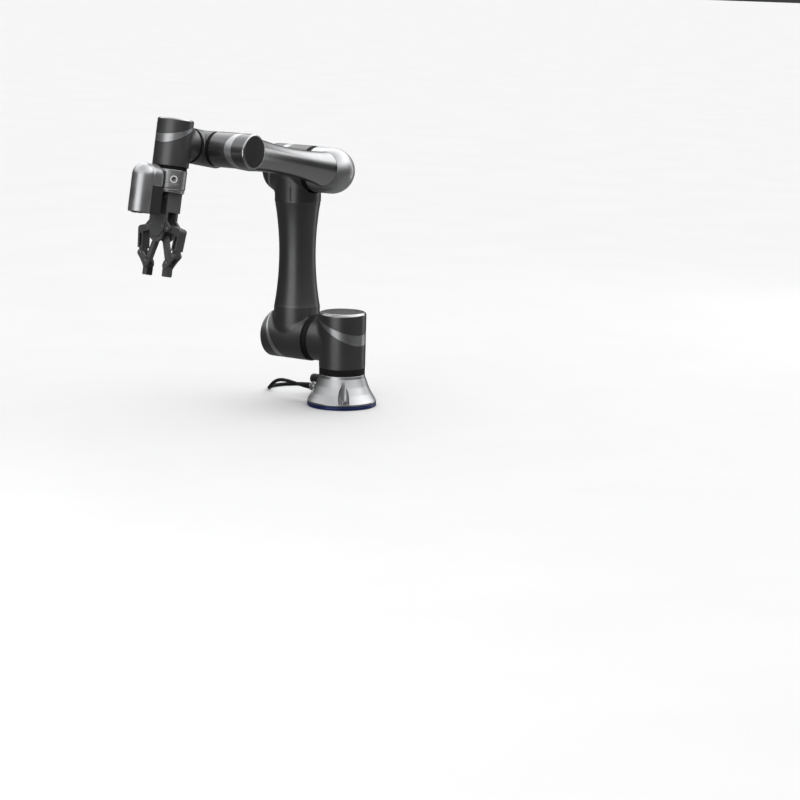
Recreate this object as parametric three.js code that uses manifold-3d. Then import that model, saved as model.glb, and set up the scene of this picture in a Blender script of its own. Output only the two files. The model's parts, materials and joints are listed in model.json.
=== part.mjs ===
// A six-axis collaborative robot arm with a wrist camera and a two-finger parallel gripper.
// Millimetres, +Z up. The origin is the centre of the mounting face. The arm reaches towards -Y,
// and the shoulder, elbow and first wrist axes lie along X, offset from the base towards -X.
import * as THREE from "three";
import { mergeVertices } from "three/addons/utils/BufferGeometryUtils.js";
import Module from "manifold-3d";

const wasm = await Module();
wasm.setup();

// Driving dimensions
const GAP = 0.3; // clearance between neighbouring pieces
const WALL = 6; // casting wall
const SIDES = 28; // facets round a large housing
const WRIST_SIDES = 24; // facets round a wrist housing
const INNER_SIDES = 16; // facets round a hidden bore

const SHOULDER_HEIGHT = 160.5; // second axis above the mounting face
const UPPER_ARM = 425; // second axis to third axis
const FOREARM = 390; // third axis to fourth axis
const LIFT = THREE.MathUtils.degToRad(11); // forearm's tilt above level
const WRIST_REACH = 105.5; // fifth housing's centre to sixth axis

const PLATE = { radius: 86.5, height: 10 };
const BASE = { foot: 87, top: 57.5, height: 80, bore: 40 };
const POCKET = { angles: [-50, -140, 130, 40], ring: 77, radius: 14, floor: 14 };
const SCREW = { ring: 75, head: 6.5, headHeight: 8, shank: 4, hole: 4.5 };
const GLAND = { height: 36, radius: 10, tip: 98, reliefEnd: 126 };

const TURNTABLE = { start: 97, length: 139, foot: 58, head: 59.5, rim: 7 }; // first joint's housing
const BIG = { radius: 58, rim: 7 }; // second and third joints' housings
const SMALL = { radius: 42, rim: 5 }; // wrist housings
const SHOULDER = { face: -72, seal: 18, end: -219, arm: -143.5, collar: 78 };
const ELBOW = { face: -81.5, seal: 14.5, end: -216, collar: 82, dome: 57, centre: -38, root: 36 };
const UPPER_TUBE = { collar: 57.5, waist: 46, bore: 38 };
const LOWER_TUBE = { root: 43, waist: 33.5, tip: 41.5, bore: 27, waistAt: 190 };
const WRIST1 = { open: -85, cap: 21, seal: 11, stub: 60 };
const WRIST2 = { x: -140, open: 44, back: -62, seal: 9 };
const WRIST3 = { radius: 43, top: -54.5, bottom: 57, seal: 8.5 };

const FLANGE = { radius: 41, end: 110.5 };
const BUTTON = { angle: -33, drop: 88, radius: 6.5, proud: 1.2, depth: 8, travel: 1.5 };
const CAMERA = { half: 29, back: 49.3, split: 88, top: 59, bottom: 175 };
const COUPLING = { radius: 40, end: 119 };
const GRIPPER = { half: 23.5, back: -28, front: 22, shoulder: 165, cover: 3 };
const PIVOT = { outer: [30, 203], inner: [12, 222], swing: [20, 62] }; // [sideways, drop]
const KNUCKLE = [56, 209];
const LINK = { outer: 7.5, inner: 5.5, wide: 13, narrow: 7 };
const FINGER = { inside: 24, outside: 37, depth: 10, top: 286, end: 316, slotEnd: 293 };
const PAD = { thickness: 2, top: 294, end: 315, depth: 9 };
const PIN = { radius: 3, hole: 3.4 };

const CABLE = { radius: 4.5, sides: 8, step: 20 };
const COIL = { x: -88, y: 125, inner: 36.2, outer: 63.8, height: 27.3, middle: 50 };
const PLUG = { radius: 13, length: 62, x: -119 };
const CABLE_ROUTE = [
  [-126.6, 0, 36], [-140, 0, 36.8], [-156, 1, 38.8], [-174, 3, 40.6], [-192, 6, 40.5], [-210, 11, 37],
  [-226, 17, 30.5], [-240, 24, 22], [-252, 32, 13.5], [-264, 43, 7.5], [-275, 57, 4.8], [-281, 74, 4.6],
  [-281, 93, 4.6], [-276, 111, 4.6], [-266, 127, 4.6], [-252, 141, 4.6], [-236, 152, 4.6],
  [-217, 161, 4.6], [-197, 169, 4.6], [-176, 176, 4.6], [-158, 181, 4.6], [-140, 183.6, 4.6],
  [-122.5, 184, 4.6],
];

// Shape helpers

// A three.js geometry as a solid that can be joined and cut.
function solid(geometry) {
  const bare = geometry.clone();
  bare.deleteAttribute("normal");
  bare.deleteAttribute("uv");
  const merged = mergeVertices(bare, 1e-3);
  const corners = [];
  for (let i = 0; i < merged.index.count; i += 3) {
    const [a, b, c] = [0, 1, 2].map((k) => merged.index.array[i + k]);
    if (a !== b && b !== c && c !== a) corners.push(a, b, c);
  }
  const vertProperties = merged.attributes.position.array;
  return new wasm.Manifold(
    new wasm.Mesh({ numProp: 3, vertProperties, triVerts: new Uint32Array(corners) }),
  );
}

// A joined or cut solid as a three.js geometry.
function geometryOf(body) {
  const { vertProperties, triVerts } = body.getMesh();
  const geometry = new THREE.BufferGeometry();
  geometry.setAttribute("position", new THREE.BufferAttribute(vertProperties, 3));
  geometry.setIndex(new THREE.BufferAttribute(triVerts, 1));
  geometry.computeVertexNormals();
  return geometry;
}

// A body turned about +Z. Its [radius, height] corners start and end on the axis, or go round a ring.
function turned(corners, sides = SIDES) {
  const ring = corners[0][0] > 0;
  const points = corners.map(([r, z]) => new THREE.Vector2(r, z));
  if (THREE.ShapeUtils.area(points) < 0) points.reverse();
  if (ring) points.push(points[0].clone());
  return new THREE.LatheGeometry(points, sides).rotateX(Math.PI / 2);
}

function rod(radius, from, to, sides = INNER_SIDES) {
  return turned([[0, from], [radius, from], [radius, to], [0, to]], sides);
}

function ring(inner, outer, from, to, sides = SIDES) {
  return turned([[inner, from], [outer, from], [outer, to], [inner, to]], sides);
}

function block(low, high) {
  const size = high.map((h, i) => h - low[i]);
  const middle = high.map((h, i) => (h + low[i]) / 2);
  return new THREE.BoxGeometry(...size).translate(...middle);
}

// A flat piece drawn in [sideways, drop] and thickened forwards, in the tool's frame.
function slab(shape, from, to) {
  const flat = new THREE.ExtrudeGeometry(shape, {
    depth: to - from,
    bevelEnabled: false,
    curveSegments: 6,
  });
  return solid(flat.rotateX(Math.PI / 2).translate(0, -from, 0));
}

function disc([x, drop], radius) {
  return new THREE.Shape().absarc(x, -drop, radius, 0, 2 * Math.PI, false);
}

function bar([x0, drop0], [x1, drop1], radius) {
  const along = Math.atan2(drop0 - drop1, x1 - x0);
  const shape = new THREE.Shape();
  shape.absarc(x0, -drop0, radius, along + Math.PI / 2, along + 1.5 * Math.PI, false);
  shape.absarc(x1, -drop1, radius, along - Math.PI / 2, along + Math.PI / 2, false);
  shape.closePath();
  return shape;
}

function polygon(corners) {
  return new THREE.Shape(corners.map(([x, drop]) => new THREE.Vector2(x, -drop)));
}

// Finishes
const finish = (color, roughness, metalness) =>
  new THREE.MeshStandardMaterial({ color, roughness, metalness });
const paint = () => finish(0x55565a, 0.4, 0.55);
const silver = () => finish(0xc9cacc, 0.3, 0.9);
const rubber = () => finish(0x17181a, 0.75, 0);
const steel = () => finish(0x9a9ca0, 0.35, 1);
const blue = () => finish(0x1d2c63, 0.45, 0.3);
const tube = () => finish(0x6b6c6f, 0.25, 0.8);
const black = () => finish(0x2a2b2e, 0.5, 0.2);

const arm = new THREE.Group();

function add(parent, name, geometry, material) {
  const mesh = new THREE.Mesh(geometry, material);
  mesh.name = name;
  parent.add(mesh);
  return mesh;
}

// A group whose +Z and +X point along the given directions.
function frameAt(parent, origin, zAxis, xAxis) {
  const group = new THREE.Group();
  const y = new THREE.Vector3().crossVectors(zAxis, xAxis);
  group.quaternion.setFromRotationMatrix(new THREE.Matrix4().makeBasis(xAxis, y, zAxis));
  group.position.copy(origin);
  parent.add(group);
  return group;
}

// The arm's directions
const RIGHT = new THREE.Vector3(1, 0, 0);
const LEFT = new THREE.Vector3(-1, 0, 0);
const UP = new THREE.Vector3(0, 0, 1);
const DOWN = new THREE.Vector3(0, 0, -1);
const AHEAD = new THREE.Vector3(0, -Math.cos(LIFT), Math.sin(LIFT)); // along the forearm
const BACK = AHEAD.clone().negate();
const TOOL_UP = new THREE.Vector3(0, Math.sin(LIFT), Math.cos(LIFT));

const ELBOW_AXIS = new THREE.Vector3(0, 0, SHOULDER_HEIGHT + UPPER_ARM);
const WRIST_AXIS = ELBOW_AXIS.clone().addScaledVector(AHEAD, FOREARM);
const TOOL_CENTRE = WRIST_AXIS.clone().addScaledVector(AHEAD, WRIST_REACH).setX(WRIST2.x);

// Joint housings

// The half-space above the oblique plane that leaves the wall `drop` below the capped end on the
// +X side and `drop - 2 * spread` below it on the -X side.
function above(length, radius, drop, spread, shift) {
  const size = 600;
  return solid(
    block([-size / 2, -size / 2, 0], [size / 2, size / 2, size])
      .rotateY(Math.atan(spread / radius))
      .translate(0, 0, length - drop + spread + shift),
  );
}

// A housing along +Z, open for its drive at z = 0 and capped at the other end, with a round arm
// towards -X, relieved where it would sweep the seal. An oblique silver band parts off the cap.
function housing({ length, foot, head, rim, stub, reach, stubAt, open, band, sides }) {
  const dish = head - rim - 3.5;
  const outer = solid(
    turned([
      [0, 0], [foot - 1, 0], [foot, 1], [head, length - rim], [head - 0.3 * rim, length - 0.3 * rim],
      [head - rim, length], [dish, length], [dish, length - 1.5], [0, length - 1.5],
    ], sides),
  )
    .add(solid(rod(stub, 0, reach, sides).rotateY(-Math.PI / 2).translate(0, 0, stubAt)))
    .subtract(solid(rod(foot + 2, -length, 0)));
  const inside = solid(rod(foot - WALL, WALL, length - rim - 3))
    .add(solid(rod(foot / 2, -1, WALL + 1)))
    .add(
      solid(
        rod(stub - WALL, 0, open ? reach + 1 : reach - WALL)
          .rotateY(-Math.PI / 2)
          .translate(0, 0, stubAt),
      ),
    );
  const shell = outer.subtract(inside);
  const cut = ([drop, spread], shift) => above(length, head, drop, spread, shift);
  return {
    casting: geometryOf(shell.subtract(cut(band.lower, -GAP / 2))),
    band: geometryOf(
      shell.intersect(cut(band.lower, GAP / 2)).subtract(cut(band.upper, -GAP / 2)),
    ),
    end: geometryOf(shell.intersect(cut(band.upper, GAP / 2))),
  };
}

// [largest drop, half its change] of the two edges of the silver band
const TALL_BAND = { upper: [54, 23], lower: [81.7, 36.2] };
const BIG_BAND = { upper: [42, 17], lower: [61, 26] };
const SMALL_BAND = { upper: [39.2, 16.7], lower: [59.4, 26.3] };

function sealRing(radius, thickness) {
  const [inner, outer, lip] = [radius / 2 + 1, radius - 3, 1.5];
  return turned([
    [inner, -thickness + GAP], [outer - lip, -thickness + GAP], [outer, -thickness + GAP + lip],
    [outer, -GAP - lip], [outer - lip, -GAP], [inner, -GAP],
  ], radius > 50 ? SIDES : WRIST_SIDES);
}

// Motor and strain-wave gear in one stepped can, its output hub through the seal.
function drive(radius, thickness, length) {
  const [hub, can, shoulder] = [radius / 2 - 1.5, radius - WALL - 4, WALL + 2];
  return turned([
    [0, -thickness + 1], [hub, -thickness + 1], [hub, shoulder], [can, shoulder],
    [can, length * 0.45], [can * 0.8, length * 0.45], [can * 0.8, length * 0.62], [0, length * 0.62],
  ], INNER_SIDES);
}

function addHousing(parent, name, shape) {
  const made = housing(shape);
  add(parent, name + "_casting", made.casting, paint());
  add(parent, name + "_band", made.band, silver());
  add(parent, name + "_cap", made.end, paint());
}

// Base
function makeBase() {
  const hole = (z0, z1) => (angle) => {
    const a = THREE.MathUtils.degToRad(angle);
    const at = [SCREW.ring * Math.cos(a), SCREW.ring * Math.sin(a), 0];
    return solid(rod(SCREW.hole, z0, z1, 12).translate(...at));
  };
  let plate = solid(
    turned([[0, 0], [PLATE.radius - 1, 0], [PLATE.radius, 1], [PLATE.radius, PLATE.height], [0, PLATE.height]]),
  );
  for (const drill of POCKET.angles.map(hole(-1, PLATE.height + 1))) plate = plate.subtract(drill);
  add(arm, "base_plate", geometryOf(plate), blue());

  const low = PLATE.height + GAP;
  let casting = solid(
    turned([
      [BASE.bore, low], [BASE.foot, low], [BASE.foot, low + 3.5], [82, 22], [75, 34], [66, 53],
      [58.5, 73], [BASE.top, BASE.height], [BASE.bore, BASE.height],
    ]),
  );
  for (const angle of POCKET.angles) {
    const { ring: at, radius, floor } = POCKET;
    const pocket = solid(rod(radius, floor, BASE.height + 1).translate(at, 0, 0))
      .add(solid(block([at, -radius, floor], [at + 40, radius, BASE.height + 1])));
    casting = casting.subtract(pocket.rotate([0, 0, angle]));
  }
  for (const drill of POCKET.angles.map(hole(0, POCKET.floor + 1))) casting = casting.subtract(drill);
  const port = rod(GLAND.radius + GAP, 30, 120).rotateY(-Math.PI / 2).translate(0, 0, GLAND.height);
  casting = casting.subtract(solid(port));
  add(arm, "base_casting", geometryOf(casting), silver());

  POCKET.angles.forEach((angle, i) => {
    const a = THREE.MathUtils.degToRad(angle);
    const seat = POCKET.floor + GAP;
    const screw = turned([
      [0, 0.5], [SCREW.shank, 0.5], [SCREW.shank, seat], [SCREW.head, seat],
      [SCREW.head, seat + SCREW.headHeight], [SCREW.head / 2, seat + SCREW.headHeight],
      [SCREW.head / 2, seat + SCREW.headHeight / 2], [0, seat + SCREW.headHeight / 2],
    ], 12);
    const mesh = add(arm, "base_screw_" + (i + 1), screw, steel());
    mesh.position.set(SCREW.ring * Math.cos(a), SCREW.ring * Math.sin(a), 0);
  });

  const seal = frameAt(arm, new THREE.Vector3(0, 0, TURNTABLE.start), UP, RIGHT);
  add(seal, "base_seal", sealRing(BASE.top + 3, TURNTABLE.start - BASE.height), rubber());
}

// Cable: gland with strain relief, the free stretch, the coil and its connector
function makeCable() {
  const { radius, tip, reliefEnd } = GLAND;
  const [wrench, relief] = [radius + 3, CABLE.radius + 1.2];
  const gland = add(arm, "cable_gland", turned([
    [0, 62], [radius, 62], [radius, 84], [wrench, 84], [wrench, 91], [radius, 92], [radius - 1, tip],
    [radius - 3, tip], [relief, reliefEnd], [0, reliefEnd],
  ], 12), silver());
  gland.rotation.y = -Math.PI / 2;
  gland.position.z = GLAND.height;

  const route = new THREE.CatmullRomCurve3(CABLE_ROUTE.map((p) => new THREE.Vector3(...p)), false, "centripetal");
  const section = new THREE.Shape();
  for (let i = 0; i < CABLE.sides; i++) {
    const a = (2 * Math.PI * i) / CABLE.sides;
    const [x, y] = [CABLE.radius * Math.cos(a), CABLE.radius * Math.sin(a)];
    if (i) section.lineTo(x, y);
    else section.moveTo(x, y);
  }
  const steps = Math.round(route.getLength() / CABLE.step);
  const lead = new THREE.ExtrudeGeometry(section, { extrudePath: route, steps, bevelEnabled: false });
  add(arm, "power_cable", lead, rubber());

  const coil = add(arm, "cable_coil", ring(COIL.inner, COIL.outer, 0, COIL.height, 24), rubber());
  coil.position.set(COIL.x, COIL.y, 0);
  const half = PLUG.length / 2;
  const plug = add(arm, "cable_plug", turned([
    [0, -half], [CABLE.radius + 2, -half], [PLUG.radius - 3, 8 - half], [PLUG.radius - 3, 0],
    [PLUG.radius, 0], [PLUG.radius, half], [PLUG.radius - 3, half], [PLUG.radius - 3, 4], [0, 4],
  ], 12), black());
  plug.rotation.y = -Math.PI / 2;
  plug.position.set(PLUG.x, COIL.y - COIL.middle, COIL.height + PLUG.radius + GAP);
}

// First joint's housing, which carries the second joint's seal
function makeShoulder() {
  const { start, length, foot, head, rim } = TURNTABLE;
  const at = frameAt(arm, new THREE.Vector3(0, 0, start), UP, RIGHT);
  addHousing(at, "shoulder", {
    length, foot, head, rim, stub: BIG.radius - 3, reach: -SHOULDER.face,
    stubAt: SHOULDER_HEIGHT - start, band: TALL_BAND, sides: SIDES,
  });
  add(at, "shoulder_drive", drive(BIG.radius, TURNTABLE.start - BASE.height, length), steel());
}

// Upper arm: the second and third joints' housings and the waisted tube between them
function makeUpperArm() {
  const shoulderAt = frameAt(
    arm, new THREE.Vector3(SHOULDER.face - SHOULDER.seal, 0, SHOULDER_HEIGHT), LEFT, DOWN,
  );
  const armFromShoulder = SHOULDER.face - SHOULDER.seal - SHOULDER.arm;
  const shoulderLength = SHOULDER.face - SHOULDER.seal - SHOULDER.end;
  addHousing(shoulderAt, "lower_joint", {
    length: shoulderLength, foot: BIG.radius, head: BIG.radius, rim: BIG.rim, stub: BIG.radius,
    reach: SHOULDER.collar, stubAt: armFromShoulder, open: true, band: BIG_BAND, sides: SIDES,
  });
  add(shoulderAt, "shoulder_seal", sealRing(BIG.radius, SHOULDER.seal), rubber());
  add(shoulderAt, "lower_joint_drive", drive(BIG.radius, SHOULDER.seal, shoulderLength), steel());

  const elbowAt = frameAt(
    arm, new THREE.Vector3(ELBOW.face - ELBOW.seal, 0, ELBOW_AXIS.z), LEFT, UP,
  );
  const elbowLength = ELBOW.face - ELBOW.seal - ELBOW.end;
  addHousing(elbowAt, "upper_joint", {
    length: elbowLength, foot: BIG.radius, head: BIG.radius, rim: BIG.rim, stub: BIG.radius,
    reach: ELBOW.collar, stubAt: ELBOW.face - ELBOW.seal - SHOULDER.arm, open: true, band: BIG_BAND,
    sides: SIDES,
  });
  add(elbowAt, "elbow_seal", sealRing(BIG.radius, ELBOW.seal), rubber());
  add(elbowAt, "upper_joint_drive", drive(BIG.radius, ELBOW.seal, elbowLength), steel());

  const { collar, waist, bore } = UPPER_TUBE;
  const [from, to] = [SHOULDER.collar + GAP, UPPER_ARM - ELBOW.collar - GAP];
  const profile = [[bore, from]];
  const rings = 8;
  for (let i = 0; i <= rings; i++) {
    const across = (2 * i) / rings - 1;
    profile.push([waist + (collar - waist) * across ** 2, from + ((to - from) * i) / rings]);
  }
  profile.push([bore, to]);
  const tubeMesh = add(arm, "upper_arm_tube", turned(profile), paint());
  tubeMesh.position.set(SHOULDER.arm, 0, SHOULDER_HEIGHT);
}

// Forearm: domed elbow casting, waisted tube and the fourth joint's housing
function makeForearm() {
  const at = frameAt(arm, ELBOW_AXIS.clone().setX(ELBOW.face), RIGHT, AHEAD);
  const middle = ELBOW.centre - ELBOW.face;
  const domed = (radius, foot) => {
    const profile = [[0, foot], [radius, foot]];
    const rings = 7;
    for (let i = 0; i <= rings; i++) {
      const a = (i / rings) * (Math.PI / 2);
      profile.push([i < rings ? radius * Math.cos(a) : 0, middle + radius * Math.sin(a)]);
    }
    return solid(turned(profile));
  };
  const root = (radius, reach, sides, from = 0) =>
    solid(rod(radius, from, reach, sides).rotateY(Math.PI / 2).translate(0, 0, middle));
  const dome = domed(ELBOW.dome, 0)
    .add(root(LOWER_TUBE.root, ELBOW.root, SIDES))
    .subtract(root(LOWER_TUBE.root + GAP, ELBOW.dome + 10, SIDES, ELBOW.root))
    .subtract(solid(rod(ELBOW.dome - 2 * WALL, WALL, middle)))
    .subtract(solid(rod(ELBOW.dome / 2, -1, WALL + 1)))
    .subtract(root(LOWER_TUBE.root - 2 * WALL, ELBOW.root + 1, INNER_SIDES));
  add(at, "elbow_casting", geometryOf(dome), silver());

  const along = frameAt(arm, ELBOW_AXIS.clone().setX(ELBOW.centre), AHEAD, RIGHT);
  const [from, to] = [ELBOW.root + GAP, FOREARM - WRIST1.stub - GAP];
  const profile = [[LOWER_TUBE.bore, from]];
  const rings = 8;
  for (let i = 0; i <= rings; i++) {
    const z = from + ((to - from) * i) / rings;
    const side = z < LOWER_TUBE.waistAt ? [from, LOWER_TUBE.root] : [to, LOWER_TUBE.tip];
    const across = (z - LOWER_TUBE.waistAt) / (side[0] - LOWER_TUBE.waistAt);
    profile.push([LOWER_TUBE.waist + (side[1] - LOWER_TUBE.waist) * across ** 2, z]);
  }
  profile.push([LOWER_TUBE.bore, to]);
  add(along, "forearm_tube", turned(profile), tube());

  const wrist = frameAt(arm, WRIST_AXIS.clone().setX(WRIST1.open), RIGHT, AHEAD);
  const length = WRIST1.cap - WRIST1.open;
  addHousing(wrist, "wrist_1", {
    length, foot: SMALL.radius, head: SMALL.radius, rim: SMALL.rim, stub: LOWER_TUBE.tip,
    reach: WRIST1.stub, stubAt: ELBOW.centre - WRIST1.open, open: true, band: SMALL_BAND,
    sides: WRIST_SIDES,
  });
  add(wrist, "wrist_1_seal", sealRing(SMALL.radius, WRIST1.seal), rubber());
  add(wrist, "wrist_1_drive", drive(SMALL.radius, WRIST1.seal, length), steel());
}

// Fifth joint's housing, behind the tool
function makeWrist2() {
  const centre = WRIST_AXIS.clone().setX(WRIST2.x);
  const at = frameAt(arm, centre.clone().addScaledVector(AHEAD, WRIST2.open), BACK, LEFT);
  const length = WRIST2.open - WRIST2.back;
  addHousing(at, "wrist_2", {
    length, foot: SMALL.radius, head: SMALL.radius, rim: SMALL.rim, stub: SMALL.radius - 0.5,
    reach: WRIST1.open - WRIST1.seal - WRIST2.x, stubAt: WRIST2.open, band: SMALL_BAND,
    sides: WRIST_SIDES,
  });
  add(at, "wrist_2_seal", sealRing(SMALL.radius, WRIST2.seal), rubber());
  add(at, "wrist_2_drive", drive(SMALL.radius, WRIST2.seal, length), steel());
}

// Sixth joint's housing, above the tool
function makeWrist3() {
  const { radius, top, bottom, seal } = WRIST3;
  const at = frameAt(arm, TOOL_CENTRE.clone().addScaledVector(TOOL_UP, -bottom), TOOL_UP, AHEAD);
  const length = bottom - top;
  addHousing(at, "wrist_3", {
    length, foot: radius, head: radius, rim: SMALL.rim, stub: SMALL.radius - 1,
    reach: WRIST_REACH - WRIST2.open - WRIST2.seal, stubAt: bottom, band: SMALL_BAND,
    sides: WRIST_SIDES,
  });
  add(at, "wrist_3_seal", sealRing(radius, seal), rubber());
  add(at, "wrist_3_drive", drive(radius, seal, length), steel());
}

// Tool flange with its freedrive button, in a frame whose -Z is the drop and -Y is forwards
function makeFlange(tool) {
  const top = WRIST3.bottom + WRIST3.seal;
  const { radius, end } = FLANGE;
  const inward = THREE.MathUtils.degToRad(BUTTON.angle);
  const facing = [radius * Math.cos(inward), radius * Math.sin(inward), -BUTTON.drop];
  const sideways = (geometry) =>
    geometry.rotateY(Math.PI / 2).rotateZ(inward).translate(...facing);
  const body = solid(
    turned([
      [0, -end], [radius - 2, -end], [radius, 2 - end], [radius, -top - 1], [radius - 1, -top],
      [0, -top],
    ], WRIST_SIDES),
  ).subtract(solid(sideways(rod(BUTTON.radius + GAP, -BUTTON.depth - 2 * BUTTON.travel, 5))));
  add(tool, "tool_flange", geometryOf(body), silver());
  const button = rod(BUTTON.radius, -BUTTON.depth, BUTTON.proud);
  add(tool, "freedrive_button", sideways(button), black());
}

// Camera on the tool's front: bracket, body, rounded front shell and lens window
function makeCamera(tool) {
  const { half, back, split, top, bottom } = CAMERA;
  const bracket = solid(block([-20, -back + GAP, -108], [20, -30, -72]))
    .subtract(solid(rod(FLANGE.radius + GAP, -120, -40, WRIST_SIDES)));
  add(tool, "camera_bracket", geometryOf(bracket), black());

  const outline = new THREE.Shape();
  outline.moveTo(-half, -bottom);
  outline.lineTo(half, -bottom);
  outline.absarc(0, -top - half, half, 0, Math.PI, false);
  add(tool, "camera_body", geometryOf(slab(outline, back, split - GAP)), black());

  const capsule = solid(new THREE.SphereGeometry(half, WRIST_SIDES, 12).rotateX(Math.PI / 2)
    .translate(0, -split, -top - half))
    .add(solid(rod(half, -bottom, -top - half, WRIST_SIDES).translate(0, -split, 0)));
  const front = solid(block([-60, -split - 60, -200], [60, -split, 0]));
  add(tool, "camera_shell", geometryOf(capsule.intersect(front)), silver());

  const window = block([-14, -split - 16, -bottom - 2], [14, -split - 4, -bottom - GAP]);
  add(tool, "camera_window", window, black());
}

// Gripper body: coupling, clevis body with the fixed pins, and front cover
function makeGripper(tool) {
  const { radius, end } = COUPLING;
  add(tool, "gripper_coupling", turned([
    [0, -end], [radius - 1, -end], [radius, 1 - end], [radius, -FLANGE.end - GAP],
    [0, -FLANGE.end - GAP],
  ], WRIST_SIDES), silver());

  const { half, back, front, shoulder, cover } = GRIPPER;
  const start = end + GAP;
  const side = (from, to) => slab(polygon([
    [-half, start], [half, start], [half, 190], [18, 228], [6, 236], [-6, 236], [-18, 228], [-half, 190],
  ]), from, to);
  const upper = slab(polygon([[-half, start], [half, start], [half, shoulder], [-half, shoulder]]), back, front);
  const clear = LINK.wide + 1.5;
  let body = upper.add(side(clear, front)).add(side(-front, -clear));
  for (const x of [-1, 1]) {
    const [outer, inner] = [PIVOT.outer, PIVOT.inner].map(([px, drop]) => [x * px, drop]);
    for (const [from, to] of [[clear, front], [-front, -clear]])
      body = body.add(slab(bar([x * 14, 186], outer, 8), from, to));
    for (const at of [outer, inner]) body = body.add(slab(disc(at, PIN.radius), -clear - 1, clear + 1));
  }
  add(tool, "gripper_body", geometryOf(body), black());

  const face = polygon([
    [-half, 124], [half, 124], [half, 206], [9, 224], [-9, 224], [-half, 206],
  ]);
  add(tool, "gripper_cover", geometryOf(slab(face, front + GAP, front + GAP + cover)), paint());
}

// One finger on its parallel linkage: side is +1 for +X and -1 for -X
function makeFinger(tool, name, side) {
  const mirrored = ([x, drop]) => [side * x, drop];
  const outerPin = PIVOT.outer;
  const innerPin = PIVOT.inner;
  const moved = ([x, drop]) => [x + PIVOT.swing[0], drop + PIVOT.swing[1]];
  const [outerEnd, innerEnd] = [moved(outerPin), moved(innerPin)];
  const piece = (from, to, radius, depth) =>
    slab(bar(mirrored(from), mirrored(to), radius), -depth, depth);
  const hole = (at, radius, depth) => slab(disc(mirrored(at), radius), -depth, depth);
  const sideCut = (low, high) => solid(block([-120, low, -outerEnd[1] - 20], [120, high, -outerEnd[1] + 11]));

  const outer = piece(outerPin, KNUCKLE, LINK.outer + 0.5, LINK.wide)
    .add(piece(KNUCKLE, outerEnd, LINK.outer, LINK.wide))
    .subtract(sideCut(-40, -LINK.narrow))
    .subtract(sideCut(LINK.narrow, 40))
    .subtract(hole(outerPin, PIN.hole, 20))
    .subtract(hole(outerEnd, PIN.hole, 20));
  add(tool, name + "_outer_link", geometryOf(outer), paint());

  const inner = piece(innerPin, innerEnd, LINK.inner, LINK.narrow)
    .subtract(hole(innerPin, PIN.hole - 0.1, 20))
    .subtract(hole(innerEnd, PIN.hole - 0.1, 20));
  add(tool, name + "_inner_link", geometryOf(inner), paint());

  const { inside, outside, depth, top, end, slotEnd } = FINGER;
  const tipMiddle = [(inside + outside) / 2, top + 4];
  const slot = solid(block([-120, -LINK.narrow - 0.4, -slotEnd], [120, LINK.narrow + 0.4, -100]));
  const tip = slab(polygon([[inside, top], [outside, top], [outside, end], [inside, end]].map(mirrored)), -depth, depth);
  const finger = piece(outerEnd, innerEnd, LINK.outer, LINK.wide)
    .add(piece(innerEnd, tipMiddle, LINK.outer, LINK.wide))
    .add(piece(outerEnd, tipMiddle, LINK.outer - 1, LINK.wide))
    .add(tip)
    .subtract(slot)
    .add(hole(outerEnd, PIN.radius, LINK.narrow + 1))
    .add(hole(innerEnd, PIN.radius, LINK.narrow + 1));
  add(tool, name + "_finger", geometryOf(finger), paint());

  const pad = slab(polygon([
    [inside - GAP - PAD.thickness, PAD.top], [inside - GAP, PAD.top], [inside - GAP, PAD.end],
    [inside - GAP - PAD.thickness, PAD.end],
  ].map(mirrored)), -PAD.depth, PAD.depth);
  add(tool, name + "_pad", geometryOf(pad), rubber());
}

makeBase();
makeCable();
makeShoulder();
makeUpperArm();
makeForearm();
makeWrist2();
makeWrist3();
const tool = frameAt(arm, TOOL_CENTRE, TOOL_UP, RIGHT);
makeFlange(tool);
makeCamera(tool);
makeGripper(tool);
makeFinger(tool, "right", 1);
makeFinger(tool, "left", -1);

export default arm;
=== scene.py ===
"""The looks of a six-axis collaborative robot arm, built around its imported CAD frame.

Shapes are made in millimetres in each housing's own frame, then scaled to metres.
"""

import json
import math

import bmesh
import bpy
import numpy as np
from mathutils import Matrix, Vector


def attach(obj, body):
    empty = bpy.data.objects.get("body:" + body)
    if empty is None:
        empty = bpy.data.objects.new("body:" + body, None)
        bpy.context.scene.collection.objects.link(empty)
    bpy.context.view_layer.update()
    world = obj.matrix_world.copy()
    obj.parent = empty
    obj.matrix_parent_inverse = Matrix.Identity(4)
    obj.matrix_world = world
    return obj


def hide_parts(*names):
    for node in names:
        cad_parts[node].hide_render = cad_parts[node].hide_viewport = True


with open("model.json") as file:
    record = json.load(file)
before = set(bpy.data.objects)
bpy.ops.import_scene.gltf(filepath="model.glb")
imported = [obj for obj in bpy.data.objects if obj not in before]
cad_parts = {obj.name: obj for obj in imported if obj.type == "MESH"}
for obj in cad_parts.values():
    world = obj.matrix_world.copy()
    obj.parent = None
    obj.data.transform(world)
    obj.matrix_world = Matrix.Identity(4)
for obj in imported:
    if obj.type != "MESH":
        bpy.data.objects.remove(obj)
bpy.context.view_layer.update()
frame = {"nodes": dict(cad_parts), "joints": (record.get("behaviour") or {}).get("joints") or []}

MM = 0.001
GAP = 0.3
WALL = 6

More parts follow.
